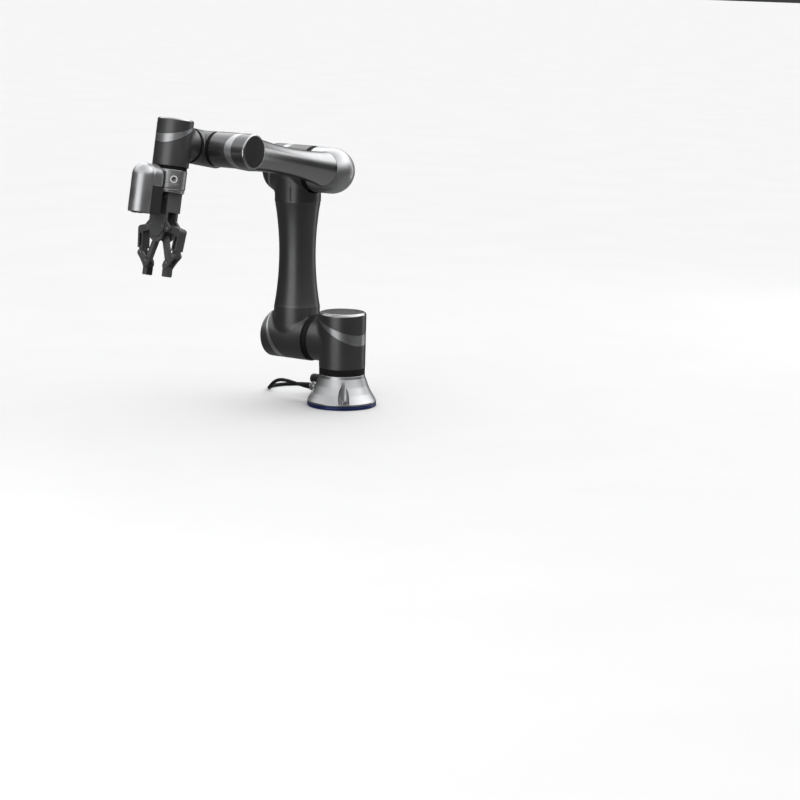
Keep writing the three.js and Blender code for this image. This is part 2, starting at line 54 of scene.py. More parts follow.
# Places and directions, from the frame's joints, in millimetres
PLACE = {j["name"]: Vector(j["pos_m"]) / MM for j in frame["joints"] if "pos_m" in j}
RIGHT, LEFT = Vector((1, 0, 0)), Vector((-1, 0, 0))
UP, DOWN = Vector((0, 0, 1)), Vector((0, 0, -1))
SHOULDER_HEIGHT = PLACE["shoulder_pitch"].z
ELBOW_AXIS = Vector((0, 0, PLACE["elbow_pitch"].z))
WRIST_AXIS = Vector((0, *PLACE["wrist_1_pitch"].yz))
AHEAD = (WRIST_AXIS - ELBOW_AXIS).normalized()
TOOL_UP = AHEAD.cross(RIGHT)
UPPER_ARM = ELBOW_AXIS.z - SHOULDER_HEIGHT
FOREARM = (WRIST_AXIS - ELBOW_AXIS).length

# Sizes
PLATE = {"radius": 86.5, "height": 10}
BASE = {"foot": 87, "top": 57.5, "height": 80, "bore": 40}
POCKET = {"angles": (-50, -140, 130, 40), "ring": 77, "radius": 14, "floor": 14}
SCREW = {"ring": 75, "head": 6.5, "height": 8, "shank": 4, "hex": 3.4}
GLAND = {"height": 36, "radius": 10, "nut": 84, "tip": 98, "end": 126}
TURNTABLE = {"start": 97, "length": 139, "foot": 58, "head": 59.5}
BIG, BIG_RIM = 58, 7
SMALL, SMALL_RIM = 42, 5
SHOULDER = {"face": -72, "seal": 18, "end": -219, "arm": -143.5, "collar": 78}
ELBOW = {"face": -81.5, "seal": 14.5, "end": -216, "collar": 82, "dome": 57, "centre": -38, "root": 36}
UPPER_TUBE = {"collar": 57.5, "waist": 46, "bore": 38}
LOWER_TUBE = {"root": 43, "waist": 33.5, "tip": 41.5, "bore": 27, "waist_at": 190}
WRIST1 = {"open": -85, "cap": 21, "seal": 11, "stub": 60}
WRIST2 = {"x": -140, "open": 44, "back": -62, "seal": 9}
WRIST3 = {"radius": 43, "top": -54.5, "bottom": 57, "seal": 8.5, "reach": 105.5}
FLANGE = {"radius": 41, "end": 110.5}
BUTTON = {"angle": -33, "drop": 88, "radius": 6.5, "proud": 1.2, "depth": 8}
CAMERA = {"half": 29, "back": 49.3, "split": 88, "top": 59, "bottom": 175}
COUPLING = {"radius": 40, "end": 119}
GRIPPER = {"half": 23.5, "back": -28, "front": 22, "shoulder": 165, "cover": 3}
PIVOT = {"outer": (30, 203), "inner": (12, 222), "swing": (20, 62)}
KNUCKLE = (56, 209)
LINK = {"outer": 7.5, "inner": 5.5, "wide": 13, "narrow": 7}
FINGER = {"inside": 24, "outside": 37, "depth": 10, "top": 286, "end": 316, "slot": 293}
PAD = {"thickness": 2, "top": 294, "end": 315, "depth": 9}
PIN = {"radius": 3, "hole": 3.4}
CABLE = 4.5
COIL = Vector((-88, 125, 0))
PLUG = {"x": -119, "y": 75, "z": 40.6, "radius": 13, "length": 62}

# (largest drop, half its change) of the upper and lower edges of each oblique band
TALL_BAND = ((54, 23), (81.7, 36.2))
BIG_BAND = ((42, 17), (61, 26))
SMALL_BAND = ((39.2, 16.7), (59.4, 26.3))

# The camera's place round the origin, in degrees and metres
VIEW = {"azimuth": 35.1, "elevation": 10.6, "roll": 0.9, "distance": 6.531, "lens": 117}
AIM = {"right": 0.1467, "up": 0.0116}


# Frames and pieces


def frame_at(origin, z_axis, x_axis):
    """The matrix, in metres, of a frame whose +Z and +X point along the given directions."""
    matrix = Matrix((x_axis, z_axis.cross(x_axis), z_axis)).transposed().to_4x4()
    matrix.translation = origin * MM
    return matrix


WORLD = frame_at(Vector(), UP, RIGHT)
TOOL_CENTRE = WRIST_AXIS + AHEAD * WRIST3["reach"] + RIGHT * WRIST2["x"]
TOOL = frame_at(TOOL_CENTRE, TOOL_UP, RIGHT)


def linked(name, data):
    obj = bpy.data.objects.new(name, data)
    bpy.context.scene.collection.objects.link(obj)
    return obj


def shaped(name, bm):
    """A bmesh in millimetres as an object in metres, not yet riding on anything."""
    bmesh.ops.scale(bm, verts=bm.verts, vec=(MM,) * 3)
    mesh = bpy.data.meshes.new(name)
    bm.to_mesh(mesh)
    bm.free()
    return linked(name, mesh)


def combined(base, tool, operation="DIFFERENCE"):
    """base after one boolean with tool, which is used up."""
    boolean = base.modifiers.new("boolean", "BOOLEAN")
    boolean.operation = operation
    boolean.solver = "MANIFOLD"
    boolean.object = tool
    baked(base)
    bpy.data.objects.remove(tool)
    return base


def baked(obj):
    """obj with its modifiers applied."""
    evaluated = obj.evaluated_get(bpy.context.evaluated_depsgraph_get())
    mesh = bpy.data.meshes.new_from_object(evaluated)
    obj.modifiers.clear()
    obj.data = mesh
    return obj


def bevelled(obj, width, segments, sharp=40):
    """Rounds the edges of obj that turn by more than sharp degrees."""
    bevel = obj.modifiers.new("edges", "BEVEL")
    bevel.width = width * MM
    bevel.segments = segments
    bevel.limit_method = "ANGLE"
    bevel.angle_limit = math.radians(sharp)
    bevel.harden_normals = True


def placed(obj, place, body, material, stands_for=(), edge=0, sharp=32):
    """Puts a finished object in its frame, on its body, with its finish."""
    obj.matrix_world = place
    obj.data.materials.clear()
    obj.data.materials.append(material)
    obj.data.shade_smooth()
    obj.data.set_sharp_from_angle(angle=math.radians(sharp))
    if edge:
        bevelled(obj, edge, 3, sharp)
    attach(obj, body)
    if stands_for:
        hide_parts(*stands_for)
    return obj


# Shapes, in millimetres


def softened(corners, ring, steps=5):
    """A profile of (radius, height) corners, where a third number rounds its corner to that radius."""
    out = []
    for i, (r, z, *fillet) in enumerate(corners):
        at = Vector((r, z))
        if not fillet or (not ring and i in (0, len(corners) - 1)):
            out.append(at)
            continue
        back = Vector(corners[i - 1][:2]) - at
        on = Vector(corners[(i + 1) % len(corners)][:2]) - at
        half = back.angle(on) / 2
        reach = min(fillet[0] / math.tan(half), 0.49 * back.length, 0.49 * on.length)
        radius = reach * math.tan(half)
        centre = at + (back.normalized() + on.normalized()).normalized() * radius / math.sin(half)
        start = at + back.normalized() * reach - centre
        stop = at + on.normalized() * reach - centre
        turn = math.atan2(start.x * stop.y - start.y * stop.x, start.dot(stop))
        for k in range(steps + 1):
            c, s = math.cos(turn * k / steps), math.sin(turn * k / steps)
            out.append(centre + Vector((c * start.x - s * start.y, s * start.x + c * start.y)))
    return out


def turned(corners, sides=96):
    """A lathed body about +Z, closed on the axis or, if it starts off the axis, round a ring."""
    ring = corners[0][0] > 0
    bm = bmesh.new()
    loops = []
    for r, z in softened(corners, ring):
        count = sides if r > 1e-6 else 1
        loops.append([
            bm.verts.new((r * math.cos(2 * math.pi * k / sides), r * math.sin(2 * math.pi * k / sides), z))
            for k in range(count)
        ])
    pairs = list(zip(loops, loops[1:]))
    if ring:
        pairs.append((loops[-1], loops[0]))
    for low, high in pairs:
        for k in range(sides):
            n = (k + 1) % sides
            corner = [low[k % len(low)], low[n % len(low)], high[n % len(high)], high[k % len(high)]]
            corner = list(dict.fromkeys(corner))
            if len(corner) > 2:
                bm.faces.new(corner)
    bmesh.ops.recalc_face_normals(bm, faces=bm.faces)
    return bm


def rod(radius, start, stop, sides=64):
    return turned([(0, start), (radius, start), (radius, stop), (0, stop)], sides)


def hexagon(across, start, stop):
    """A hexagonal bar about +Z, measured over its corners."""
    return turned([(0, start), (across, start), (across, stop), (0, stop)], 6)


def moved(bm, axis=None, degrees=0, by=(0, 0, 0)):
    if axis:
        turn = Matrix.Rotation(math.radians(degrees), 3, axis)
        bmesh.ops.rotate(bm, verts=bm.verts, cent=(0, 0, 0), matrix=turn)
    bmesh.ops.translate(bm, verts=bm.verts, vec=by)
    return bm


def block(low, high, edge=0):
    bm = bmesh.new()
    bmesh.ops.create_cube(bm, size=1)
    bmesh.ops.scale(bm, verts=bm.verts, vec=[h - l for l, h in zip(low, high)])
    bmesh.ops.translate(bm, verts=bm.verts, vec=[(h + l) / 2 for l, h in zip(low, high)])
    return eased(bm, edge)


def eased(bm, edge, segments=3):
    """bm with every edge rounded."""
    if edge:
        bmesh.ops.bevel(bm, geom=bm.edges, offset=edge, segments=segments, profile=0.5, affect="EDGES")
    return bm


def slab(outline, near, far):
    """A flat piece drawn in (sideways, drop) and thickened forwards, in the tool's frame."""
    bm = bmesh.new()
    rings = [[bm.verts.new((x, -depth, -drop)) for x, drop in outline] for depth in (near, far)]
    bm.faces.new(rings[0])
    bm.faces.new(rings[1])
    for k in range(len(outline)):
        n = (k + 1) % len(outline)
        bm.faces.new((rings[0][k], rings[0][n], rings[1][n], rings[1][k]))
    bmesh.ops.recalc_face_normals(bm, faces=bm.faces)
    return bm


def arc(centre, radius, start, stop, steps=14):
    """Points of an arc in (sideways, drop), its angles in degrees."""
    angles = [math.radians(start + (stop - start) * k / steps) for k in range(steps + 1)]
    return [(centre[0] + radius * math.cos(a), centre[1] + radius * math.sin(a)) for a in angles]


def disc(centre, radius):
    return arc(centre, radius, 0, 360, 32)[:-1]


def bar(a, b, radius):
    """The outline of a round-ended link."""
    along = math.degrees(math.atan2(b[1] - a[1], b[0] - a[0]))
    return arc(a, radius, along + 90, along + 270) + arc(b, radius, along - 90, along + 90)


def united(name, parts):
    """Several bmeshes joined into one solid."""
    whole = shaped(name, parts[0])
    for part in parts[1:]:
        combined(whole, shaped("part", part), "UNION")
    return whole


def without(obj, parts):
    """obj with several bmeshes cut out of it."""
    for part in parts:
        combined(obj, shaped("part", part))
    return obj


# Materials: colour, roughness and bump all vary over the surface


class Finish:
    """A procedural material that is built up node by node."""

    def __init__(self, name, metallic, coat=0.0, coat_roughness=0.1, specular=0.5):
        self.material = bpy.data.materials.new(name)
        self.material.use_nodes = True
        self.tree = self.material.node_tree
        self.shader = self.tree.nodes["Principled BSDF"]
        self.shader.inputs["Metallic"].default_value = metallic
        self.shader.inputs["Coat Weight"].default_value = coat
        self.shader.inputs["Coat Roughness"].default_value = coat_roughness
        self.shader.inputs["Specular IOR Level"].default_value = specular
        self.place = self.node("ShaderNodeTexCoord").outputs["Object"]

    def node(self, kind, **settings):
        made = self.tree.nodes.new(kind)
        for key, value in settings.items():
            setattr(made, key, value)
        return made

    def link(self, source, target):
        self.tree.links.new(source, target)
        return target.node

    def noise(self, scale, detail=4.0, roughness=0.55, place=None):
        noise = self.node("ShaderNodeTexNoise")
        noise.inputs["Scale"].default_value = scale
        noise.inputs["Detail"].default_value = detail
        noise.inputs["Roughness"].default_value = roughness
        self.link(place or self.place, noise.inputs["Vector"])
        return noise.outputs["Fac"]

    def spread(self, source, low, high, start=0.3, stop=0.7):
        """source, stretched from start..stop to low..high."""
        stretch = self.node("ShaderNodeMapRange")
        for key, value in zip(("From Min", "From Max", "To Min", "To Max"), (start, stop, low, high)):
            stretch.inputs[key].default_value = value
        self.link(source, stretch.inputs["Value"])
        return stretch.outputs["Result"]

    def mixed(self, share, a, b):
        """Colour a turning to b as share goes from 0 to 1. A colour is a tuple or a socket."""
        mix = self.node("ShaderNodeMix", data_type="RGBA")
        self.link(share, mix.inputs["Factor"])
        for socket, value in ((mix.inputs[6], a), (mix.inputs[7], b)):
            if isinstance(value, tuple):
                socket.default_value = (*value, 1)
            else:
                self.link(value, socket)
        return mix.outputs[2]

    def colour(self, a, b, scale, worn=None, wear=0.5):
        """Two close tones in soft clouds, and a third where the edges are worn."""
        tone = self.mixed(self.spread(self.noise(scale), 0, 1), a, b)
        if worn:
            edges = self.node("ShaderNodeNewGeometry").outputs["Pointiness"]
            rubbed = self.spread(edges, 0, wear, 0.53, 0.62)
            tone = self.mixed(rubbed, tone, worn)
        self.link(tone, self.shader.inputs["Base Color"])
        return self

    def scuffs(self, tone, scale, amount):
        """Small pale rubs, thinly scattered over the colour already there."""
        shade = self.shader.inputs["Base Color"]
        before = shade.links[0].from_socket
        rubs = self.spread(self.noise(scale, 6, 0.7), 0, amount, 0.62, 0.74)
        self.link(self.mixed(rubs, before, tone), shade)
        return self

    def roughness(self, low, high, scale):
        self.link(self.spread(self.noise(scale), low, high), self.shader.inputs["Roughness"])
        return self

    def bump(self, source, strength, depth):
        """depth is the bump's height in millimetres."""
        bump = self.node("ShaderNodeBump")
        bump.inputs["Strength"].default_value = strength
        bump.inputs["Distance"].default_value = depth * MM
        before = self.shader.inputs["Normal"]
        if before.is_linked:
            self.link(before.links[0].from_socket, bump.inputs["Normal"])
        self.link(source, bump.inputs["Height"])
        self.link(bump.outputs["Normal"], before)
        return self

    def turning_marks(self):
        """Coordinates in which lathe marks run round +Z and repeat quickly along it."""
        split = self.node("ShaderNodeSeparateXYZ")
        self.link(self.place, split.inputs["Vector"])
        across = self.node("ShaderNodeVectorMath", operation="LENGTH")
        flat = self.node("ShaderNodeCombineXYZ")
        self.link(split.outputs["X"], flat.inputs["X"])
        self.link(split.outputs["Y"], flat.inputs["Y"])
        self.link(flat.outputs["Vector"], across.inputs[0])
        marks = self.node("ShaderNodeCombineXYZ")
        self.link(across.outputs["Value"], marks.inputs["X"])
        self.link(split.outputs["Z"], marks.inputs["Y"])
        return marks.outputs["Vector"]


def finished(name, metallic, tones, rough, bumps, worn=(), rubs=(), lathed=False, glow=0, **shine):
    """A whole material.

    tones is (colour, colour, scale), worn (colour, amount), rough (low, high, scale), rubs
    (colour, scale, amount) and each bump (strength, millimetres, *noise). The first bump of a
    lathed finish follows the lathe's marks.
    """
    finish = Finish(name, metallic, **shine)
    finish.colour(*tones, *worn)
    if rubs:
        finish.scuffs(*rubs)
    finish.roughness(*rough)
    for k, (strength, depth, *noise) in enumerate(bumps):
        place = finish.turning_marks() if lathed and k == 0 else None
        finish.bump(finish.noise(*noise, place=place), strength, depth)
    if glow:
        finish.shader.inputs["Emission Color"].default_value = (1, 1, 1, 1)
        finish.shader.inputs["Emission Strength"].default_value = glow
    return finish.material


# Dark metallic paint with fine flake, faintly worn on its edges
PAINT = finished(
    "satin_paint", 0.8, ((0.135, 0.136, 0.139), (0.155, 0.156, 0.159), 9), (0.36, 0.44, 14),
    [(0.05, 0.05, 1500, 2), (0.04, 0.1, 110, 3)], ((0.26, 0.26, 0.265), 0.4), coat=0.22,
    coat_roughness=0.28,
)
# The same paint polished, on the first wrist
GLOSS = finished(
    "dark_gloss", 0.9, ((0.17, 0.171, 0.175), (0.2, 0.201, 0.206), 7), (0.24, 0.31, 12),
    [(0.04, 0.04, 1400, 2)], ((0.32, 0.32, 0.33), 0.5), coat=0.35, coat_roughness=0.08,
)
# The forearm tube's paler polish, with faint marks round it
TUBE = finished(
    "brushed_tube", 1.0, ((0.38, 0.382, 0.388), (0.43, 0.432, 0.438), 9), (0.2, 0.26, 12),
    [(0.015, 0.02, 500, 2, 0.5)], rubs=((0.55, 0.55, 0.56), 70, 0.5), lathed=True,
)
# Bare aluminium with lathe marks
SILVER = finished(
    "turned_aluminium", 1.0, ((0.56, 0.565, 0.573), (0.63, 0.635, 0.645), 18), (0.34, 0.43, 30),
    [(0.05, 0.03, 1300, 2, 0.6), (0.02, 0.05, 150, 2)], rubs=((0.8, 0.8, 0.81), 60, 0.6), lathed=True,
)
# Polished trim of the caps, lens rings and the plug's pins
TRIM = finished(
    "bright_trim", 1.0, ((0.5, 0.503, 0.51), (0.57, 0.573, 0.58), 40), (0.2, 0.27, 60),
    [(0.03, 0.03, 900, 2)],
)
# The flat dark disc in a housing's end
DISC = finished(
    "cap_plate", 0.2, ((0.03, 0.03, 0.031), (0.042, 0.042, 0.043), 25), (0.34, 0.44, 40),
    [(0.05, 0.04, 900, 3)], coat=0.4, coat_roughness=0.12,
)
RUBBER = finished(
    "seal_rubber", 0.0, ((0.008, 0.008, 0.009), (0.014, 0.014, 0.015), 30), (0.55, 0.72, 40),
    [(0.16, 0.12, 600, 5, 0.7)], ((0.05, 0.05, 0.05), 0.4), specular=0.3,
)
BLUE = finished(
    "blue_ring", 0.35, ((0.012, 0.028, 0.13), (0.018, 0.038, 0.17), 15), (0.35, 0.45, 30),
    [(0.06, 0.06, 700, 3)], ((0.06, 0.1, 0.3), 0.5), coat=0.3, coat_roughness=0.2,
)
STEEL = finished(
    "machined_steel", 1.0, ((0.4, 0.4, 0.41), (0.52, 0.52, 0.53), 35), (0.24, 0.36, 50),
    [(0.1, 0.05, 1500, 2, 0.6)], ((0.7, 0.7, 0.71), 0.6), lathed=True,
)
# Moulded plastic with a fine spark-eroded grain
BLACK = finished(
    "moulded_black", 0.0, ((0.024, 0.025, 0.026), (0.034, 0.035, 0.036), 12), (0.42, 0.54, 25),
    [(0.18, 0.08, 1100, 4, 0.65)], ((0.09, 0.09, 0.09), 0.5), specular=0.4,
)
# Anodised aluminium of the gripper, rubbed light along its edges
ANODISED = finished(
    "grey_anodising", 0.45, ((0.12, 0.122, 0.122), (0.15, 0.152, 0.152), 20), (0.38, 0.5, 45),
    [(0.1, 0.05, 1300, 3)], ((0.28, 0.28, 0.28), 0.5),
)
GLASS = finished(
    "lens_glass", 0.0, ((0.008, 0.009, 0.014), (0.014, 0.012, 0.022), 60), (0.04, 0.08, 90),
    [(0.01, 0.02, 50, 2)], coat=1.0, coat_roughness=0.02,
)
# Translucent ring round the freedrive button
LAMP = finished(
    "lamp_ring", 0.0, ((0.8, 0.81, 0.82), (0.9, 0.9, 0.91), 80), (0.25, 0.35, 90),
    [(0.04, 0.04, 600, 2)], glow=0.35, coat=0.5,
)
# Hook-and-loop strap round the coil
STRAP = finished(
    "woven_strap", 0.0, ((0.02, 0.02, 0.021), (0.05, 0.05, 0.052), 400), (0.75, 0.9, 120),
    [(0.5, 0.25, 1200, 5, 0.8)], specular=0.2,
)


# Camera


def make_camera():
    azimuth, elevation, roll = (math.radians(VIEW[k]) for k in ("azimuth", "elevation", "roll"))
    back = Vector((
        math.sin(azimuth) * math.cos(elevation),
        -math.cos(azimuth) * math.cos(elevation),
        math.sin(elevation),
    ))
    level = Vector((math.cos(azimuth), math.sin(azimuth), 0))
    upright = back.cross(level)
    right = level * math.cos(roll) + upright * math.sin(roll)
    up = upright * math.cos(roll) - level * math.sin(roll)
    camera = linked("camera", bpy.data.cameras.new("camera"))
    matrix = Matrix((right, up, back)).transposed().to_4x4()
    matrix.translation = right * AIM["right"] + up * AIM["up"] + back * VIEW["distance"]
    camera.matrix_world = matrix
    camera.data.lens = VIEW["lens"]
    camera.data.clip_end = 100
    bpy.context.scene.camera = camera


# Cable

CABLE_ROUTE = [
    (-126.6, 0, 36), (-140, 0, 36.8), (-156, 1, 38.8), (-174, 3, 40.6), (-192, 6, 40.5),
    (-210, 11, 37), (-226, 17, 30.5), (-240, 24, 22), (-252, 32, 13.5), (-264, 43, 7.5),
    (-275, 57, 4.8), (-281, 74, 4.6), (-281, 93, 4.6), (-276, 111, 4.6), (-266, 127, 4.6),
    (-252, 141, 4.6), (-236, 152, 4.6), (-217, 161, 4.6), (-197, 169, 4.6), (-176, 176, 4.6),
    (-158, 181, 4.6), (-140, 183.6, 4.6), (-122.5, 184, 4.6),
]

# (radius, layer) of each turn of the coil, and how far before the end of its turn it moves on
TURNS = [(59, 0), (50, 0), (41, 0), (41, 1), (50, 1), (59, 1), (59, 2), (50, 2), (41, 2)]
LEADS = [0, 0, 70, 140, 140, 210, 280, 280]
CHANGE = 70
LAYER, FLOOR_GAP = 9.1, 4.6
QUARTER = 90
RISE_FROM = 8 * 360 - 90  # degrees wound when the tail starts to rise towards the plug


def smooth(t):
    t = min(max(t, 0), 1)
    return t * t * (3 - 2 * t)


def centripetal(points, step=4):
    """A centripetal Catmull-Rom curve through the points, sampled about every step millimetres."""
    knots = [Vector(p) for p in points]
    knots = [2 * knots[0] - knots[1], *knots, 2 * knots[-1] - knots[-2]]
    out = []
    for a, b, c, d in zip(knots, knots[1:], knots[2:], knots[3:]):
        t1 = (b - a).length ** 0.5
        t2 = t1 + (c - b).length ** 0.5
        t3 = t2 + (d - c).length ** 0.5
        count = max(2, round((c - b).length / step))
        for k in range(count):
            t = t1 + (t2 - t1) * k / count
            ab = a * (t1 - t) / t1 + b * t / t1
            bc = b * (t2 - t) / (t2 - t1) + c * (t - t1) / (t2 - t1)
            cd = c * (t3 - t) / (t3 - t2) + d * (t - t2) / (t3 - t2)
            abc = ab * (t2 - t) / t2 + bc * t / t2
            bcd = bc * (t3 - t) / (t3 - t1) + cd * (t - t1) / (t3 - t1)
            out.append(abc * (t2 - t) / (t2 - t1) + bcd * (t - t1) / (t2 - t1))
    return [*out, knots[-2]]


def coil_place(wound):
    """The cable's centre after `wound` degrees of coil, which starts at the back and runs clockwise."""
    radius, layer = TURNS[0]
    for k, lead in enumerate(LEADS):
        share = smooth((wound - (360 * (k + 1) - lead - CHANGE)) / CHANGE)
        radius += (TURNS[k + 1][0] - TURNS[k][0]) * share
        layer += (TURNS[k + 1][1] - TURNS[k][1]) * share
    angle = math.radians(90 - wound)
    offset = Vector((radius * math.cos(angle), radius * math.sin(angle), FLOOR_GAP + LAYER * layer))
    return COIL + offset


def cable_points():
    points = centripetal(CABLE_ROUTE)
    wound = 360 * (len(TURNS) - 1) + QUARTER
    points += [coil_place(a) for a in range(0, wound + 1, 5)]
    bend = TURNS[-1][0]
    corner = Vector((PLUG["x"] + PLUG["length"] / 2, PLUG["y"] + bend, points[-1].z))
    for k in range(19):
        angle = math.radians(-90 * k / 18)
        points.append(corner + Vector((bend * math.cos(angle), bend * math.sin(angle), 0)))
    rise = len(points) - 1 - next(
        i for i, p in enumerate(reversed(points)) if (p - coil_place(RISE_FROM)).length < 3
    )
    travel = [0.0]
    for a, b in zip(points[rise:], points[rise + 1:]):
        travel.append(travel[-1] + (b - a).length)
    for point, gone in zip(points[rise:], travel):
        point.z += (PLUG["z"] - corner.z) * smooth(gone / travel[-1])
    return points


def make_cable():
    points = cable_points()
    data = bpy.data.curves.new("power_lead", "CURVE")
    data.dimensions = "3D"
    data.bevel_depth = CABLE * MM
    data.bevel_resolution = 4
    data.use_fill_caps = True
    spline = data.splines.new("POLY")
    spline.points.add(len(points) - 1)
    for slot, point in zip(spline.points, points):
        slot.co = (*(point * MM), 1)
    spline.use_smooth = True
    lead = linked("power_lead", data)
    data.materials.append(RUBBER)
    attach(lead, "root")
    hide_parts("power_cable", "cable_coil")
    length = sum((b - a).length for a, b in zip(points, points[1:])) * MM
    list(make_plug())
    make_strap()
    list(make_gland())


def make_plug():
    """A round industrial connector: back shell, knurled coupling ring, insert and pins."""
    centre = Vector((PLUG["x"], PLUG["y"], PLUG["z"]))
    place = frame_at(centre, LEFT, UP)
    half, outer = PLUG["length"] / 2, PLUG["radius"]
    nodes = ("cable_plug",)
    shell = turned([
        (0, -half), (CABLE + 1.6, -half, 0.6), (CABLE + 2.6, -half + 5, 1), (outer - 3.4, 10 - half, 1.5),
        (outer - 3, 12 - half, 0.5), (outer - 3, -1, 0.3), (outer - 4, -1, 0.2), (outer - 4, half, 0.4),
        (outer - 5, half, 0.3), (outer - 5, 5, 0.2), (0, 5),
    ])
    back = placed(shaped("plug_shell", shell), place, "root", BLACK, nodes)
    ring = shaped("plug_ring", turned([
        (outer - 3.8, 0, 0.3), (outer - 0.6, 0, 0.8), (outer - 0.6, half - 6, 0.8),
        (outer - 1.8, half - 1, 0.6),
        (outer - 3.8, half - 1, 0.3),
    ]))
    flutes = 24
    for k in range(flutes):
        flute = moved(rod(1.1, 3, half - 9, 10), by=(outer, 0, 0))
        combined(ring, shaped("flute", moved(flute, "Z", 360 * k / flutes)))
    ring = placed(ring, place, "root", BLACK, nodes)
    pins = bmesh.new()
    for k in range(6):
        at = (4.6 * math.cos(math.tau * k / 6), 4.6 * math.sin(math.tau * k / 6), 0) if k else (0, 0, 0)
        pin = turned([(0, 4), (0.9, 4), (0.9, half - 6, 0.6), (0, half - 6)], 16)
        part = bpy.data.meshes.new("pin")
        moved(pin, by=at).to_mesh(part)
        pin.free()
        pins.from_mesh(part)
    pins = placed(shaped("plug_pins", pins), place, "root", TRIM, nodes)
    return back, ring, pins


def make_strap():
    """A strap round the coil's section, on the side away from the arm."""
    inner, outer, top = 36.6, 63.4, 3 * LAYER + 0.2
    half, thick = 9, 1.1
    path = softened([(inner, 0.3, 5), (outer, 0.3, 5), (outer, top, 5), (inner, top, 5)], True)
    middle = Vector(((inner + outer) / 2, top / 2))
    bm = bmesh.new()
    rings = []
    for p in path:
        out = Vector(((p.x - middle.x) / (outer - inner), (p.y - middle.y) / top)).normalized()
        skin = p + out * thick
        skin.y = max(skin.y, 0.1)
        rings.append(
            [bm.verts.new((q.x, s * half, q.y)) for q, s in ((p, -1), (skin, -1), (skin, 1), (p, 1))],
        )
    for a, b in zip(rings, rings[1:] + rings[:1]):
        for k in range(4):
            n = (k + 1) % 4
            bm.faces.new((a[k], a[n], b[n], b[k]))
    bmesh.ops.recalc_face_normals(bm, faces=bm.faces)
    moved(bm, "Z", 200)
    place = frame_at(COIL, UP, RIGHT)
    return placed(shaped("cable_strap", bm), place, "root", STRAP)


def make_gland():
    """Threaded gland, its hexagonal nut and the ribbed strain relief."""
    radius, nut, tip, end = (GLAND[k] for k in ("radius", "nut", "tip", "end"))
    place = frame_at(Vector((0, 0, GLAND["height"])), LEFT, UP)
    nodes = ("cable_gland",)
    body = turned([
        (0, 62), (radius - 0.2, 62), (radius - 0.2, nut - 1, 0.4), (radius, nut, 0.2),
        (radius + 1.4, nut, 0.6),
        (radius + 1.4, nut + 1.6, 0.6), (radius, nut + 1.6, 0.3), (radius, 92, 0.3),
        (radius - 0.6, tip - 1, 1.2),
        (0, tip - 1),
    ])
    body = placed(shaped("gland_body", body), place, "root", SILVER, nodes)
    nut_shape = shaped("gland_nut", hexagon(radius + 3, nut + 1.6, 91))
    chamfer = turned(
        [
            (0, nut), (radius + 1.8, nut), (radius + 3.2, nut + 3), (radius + 3.2, 89),
            (radius + 1.8, 92), (0, 92),
        ],
    )
    combined(nut_shape, shaped("chamfer", chamfer), "INTERSECT")
    nut_shape = placed(nut_shape, place, "root", SILVER, nodes, sharp=20)
    relief = [(0, tip - 1.5), (radius - 2.2, tip - 1.5), (radius - 2.2, tip + 1, 1)]
    ribs = 6
    for k in range(ribs):
        z = tip + 2 + (end - tip - 5) * k / ribs
        step = (end - tip - 5) / ribs
        r = radius - 2.6 - (radius - 2.6 - CABLE - 0.9) * k / ribs
        relief += [
            (r, z, 0.4), (r, z + 0.62 * step, 0.4), (r - 0.9, z + 0.66 * step, 0.2),
            (r - 0.9, z + 0.96 * step, 0.2),
        ]
    relief += [(CABLE + 0.9, end - 3, 0.4), (CABLE + 0.5, end, 0.3), (0, end)]
    relief = placed(
        shaped("gland_relief", turned(relief, 64)), place, "root", RUBBER, nodes,
    )
    return body, nut_shape, relief


# Base


def make_base():
    plate = turned([
        (0, 0), (PLATE["radius"], 0, 1.2), (PLATE["radius"], PLATE["height"] - 3.4, 0.8),
        (PLATE["radius"] - 0.9, PLATE["height"] - 3, 0.3),
        (PLATE["radius"] - 0.9, PLATE["height"] - 2.2, 0.3),
        (PLATE["radius"], PLATE["height"] - 1.8, 0.3), (PLATE["radius"], PLATE["height"], 0.8),
        (0, PLATE["height"]),
    ], 160)
    placed(shaped("base_ring", plate), WORLD, "root", BLUE, ("base_plate",))
    low = PLATE["height"] + GAP
    cone = [
        (BASE["bore"], low), (BASE["foot"], low, 1), (BASE["foot"], low + 3.8, 3), (82, 22, 12),
        (75, 34, 30),
        (66, 53, 60), (58.5, 73, 12), (BASE["top"], BASE["height"], 1), (BASE["bore"], BASE["height"]),
    ]
    casting = shaped("base_cone", turned(cone, 160))
    for angle in POCKET["angles"]:
        at, radius, floor = POCKET["ring"], POCKET["radius"], POCKET["floor"]
        top = BASE["height"] + 1
        round_end = moved(turned([
            (0, floor), (radius, floor, 2.5), (radius, top), (0, top),
        ], 64), by=(at, 0, 0))
        mouth = block((at, -radius, floor), (at + 40, radius, top))
        without(casting, [moved(round_end, "Z", angle), moved(mouth, "Z", angle)])
    port = moved(rod(GLAND["radius"] + GAP, 30, 120), "Y", -90, (0, 0, GLAND["height"]))
    without(casting, [port])
    placed(casting, WORLD, "root", SILVER, ("base_casting",), edge=0.7)
    for number, angle in enumerate(POCKET["angles"], 1):
        make_base_screw(number, math.radians(angle))
    ring_seal("base_seal", frame_at(UP * TURNTABLE["start"], UP, RIGHT), "root", BASE["top"] + 3, 17)


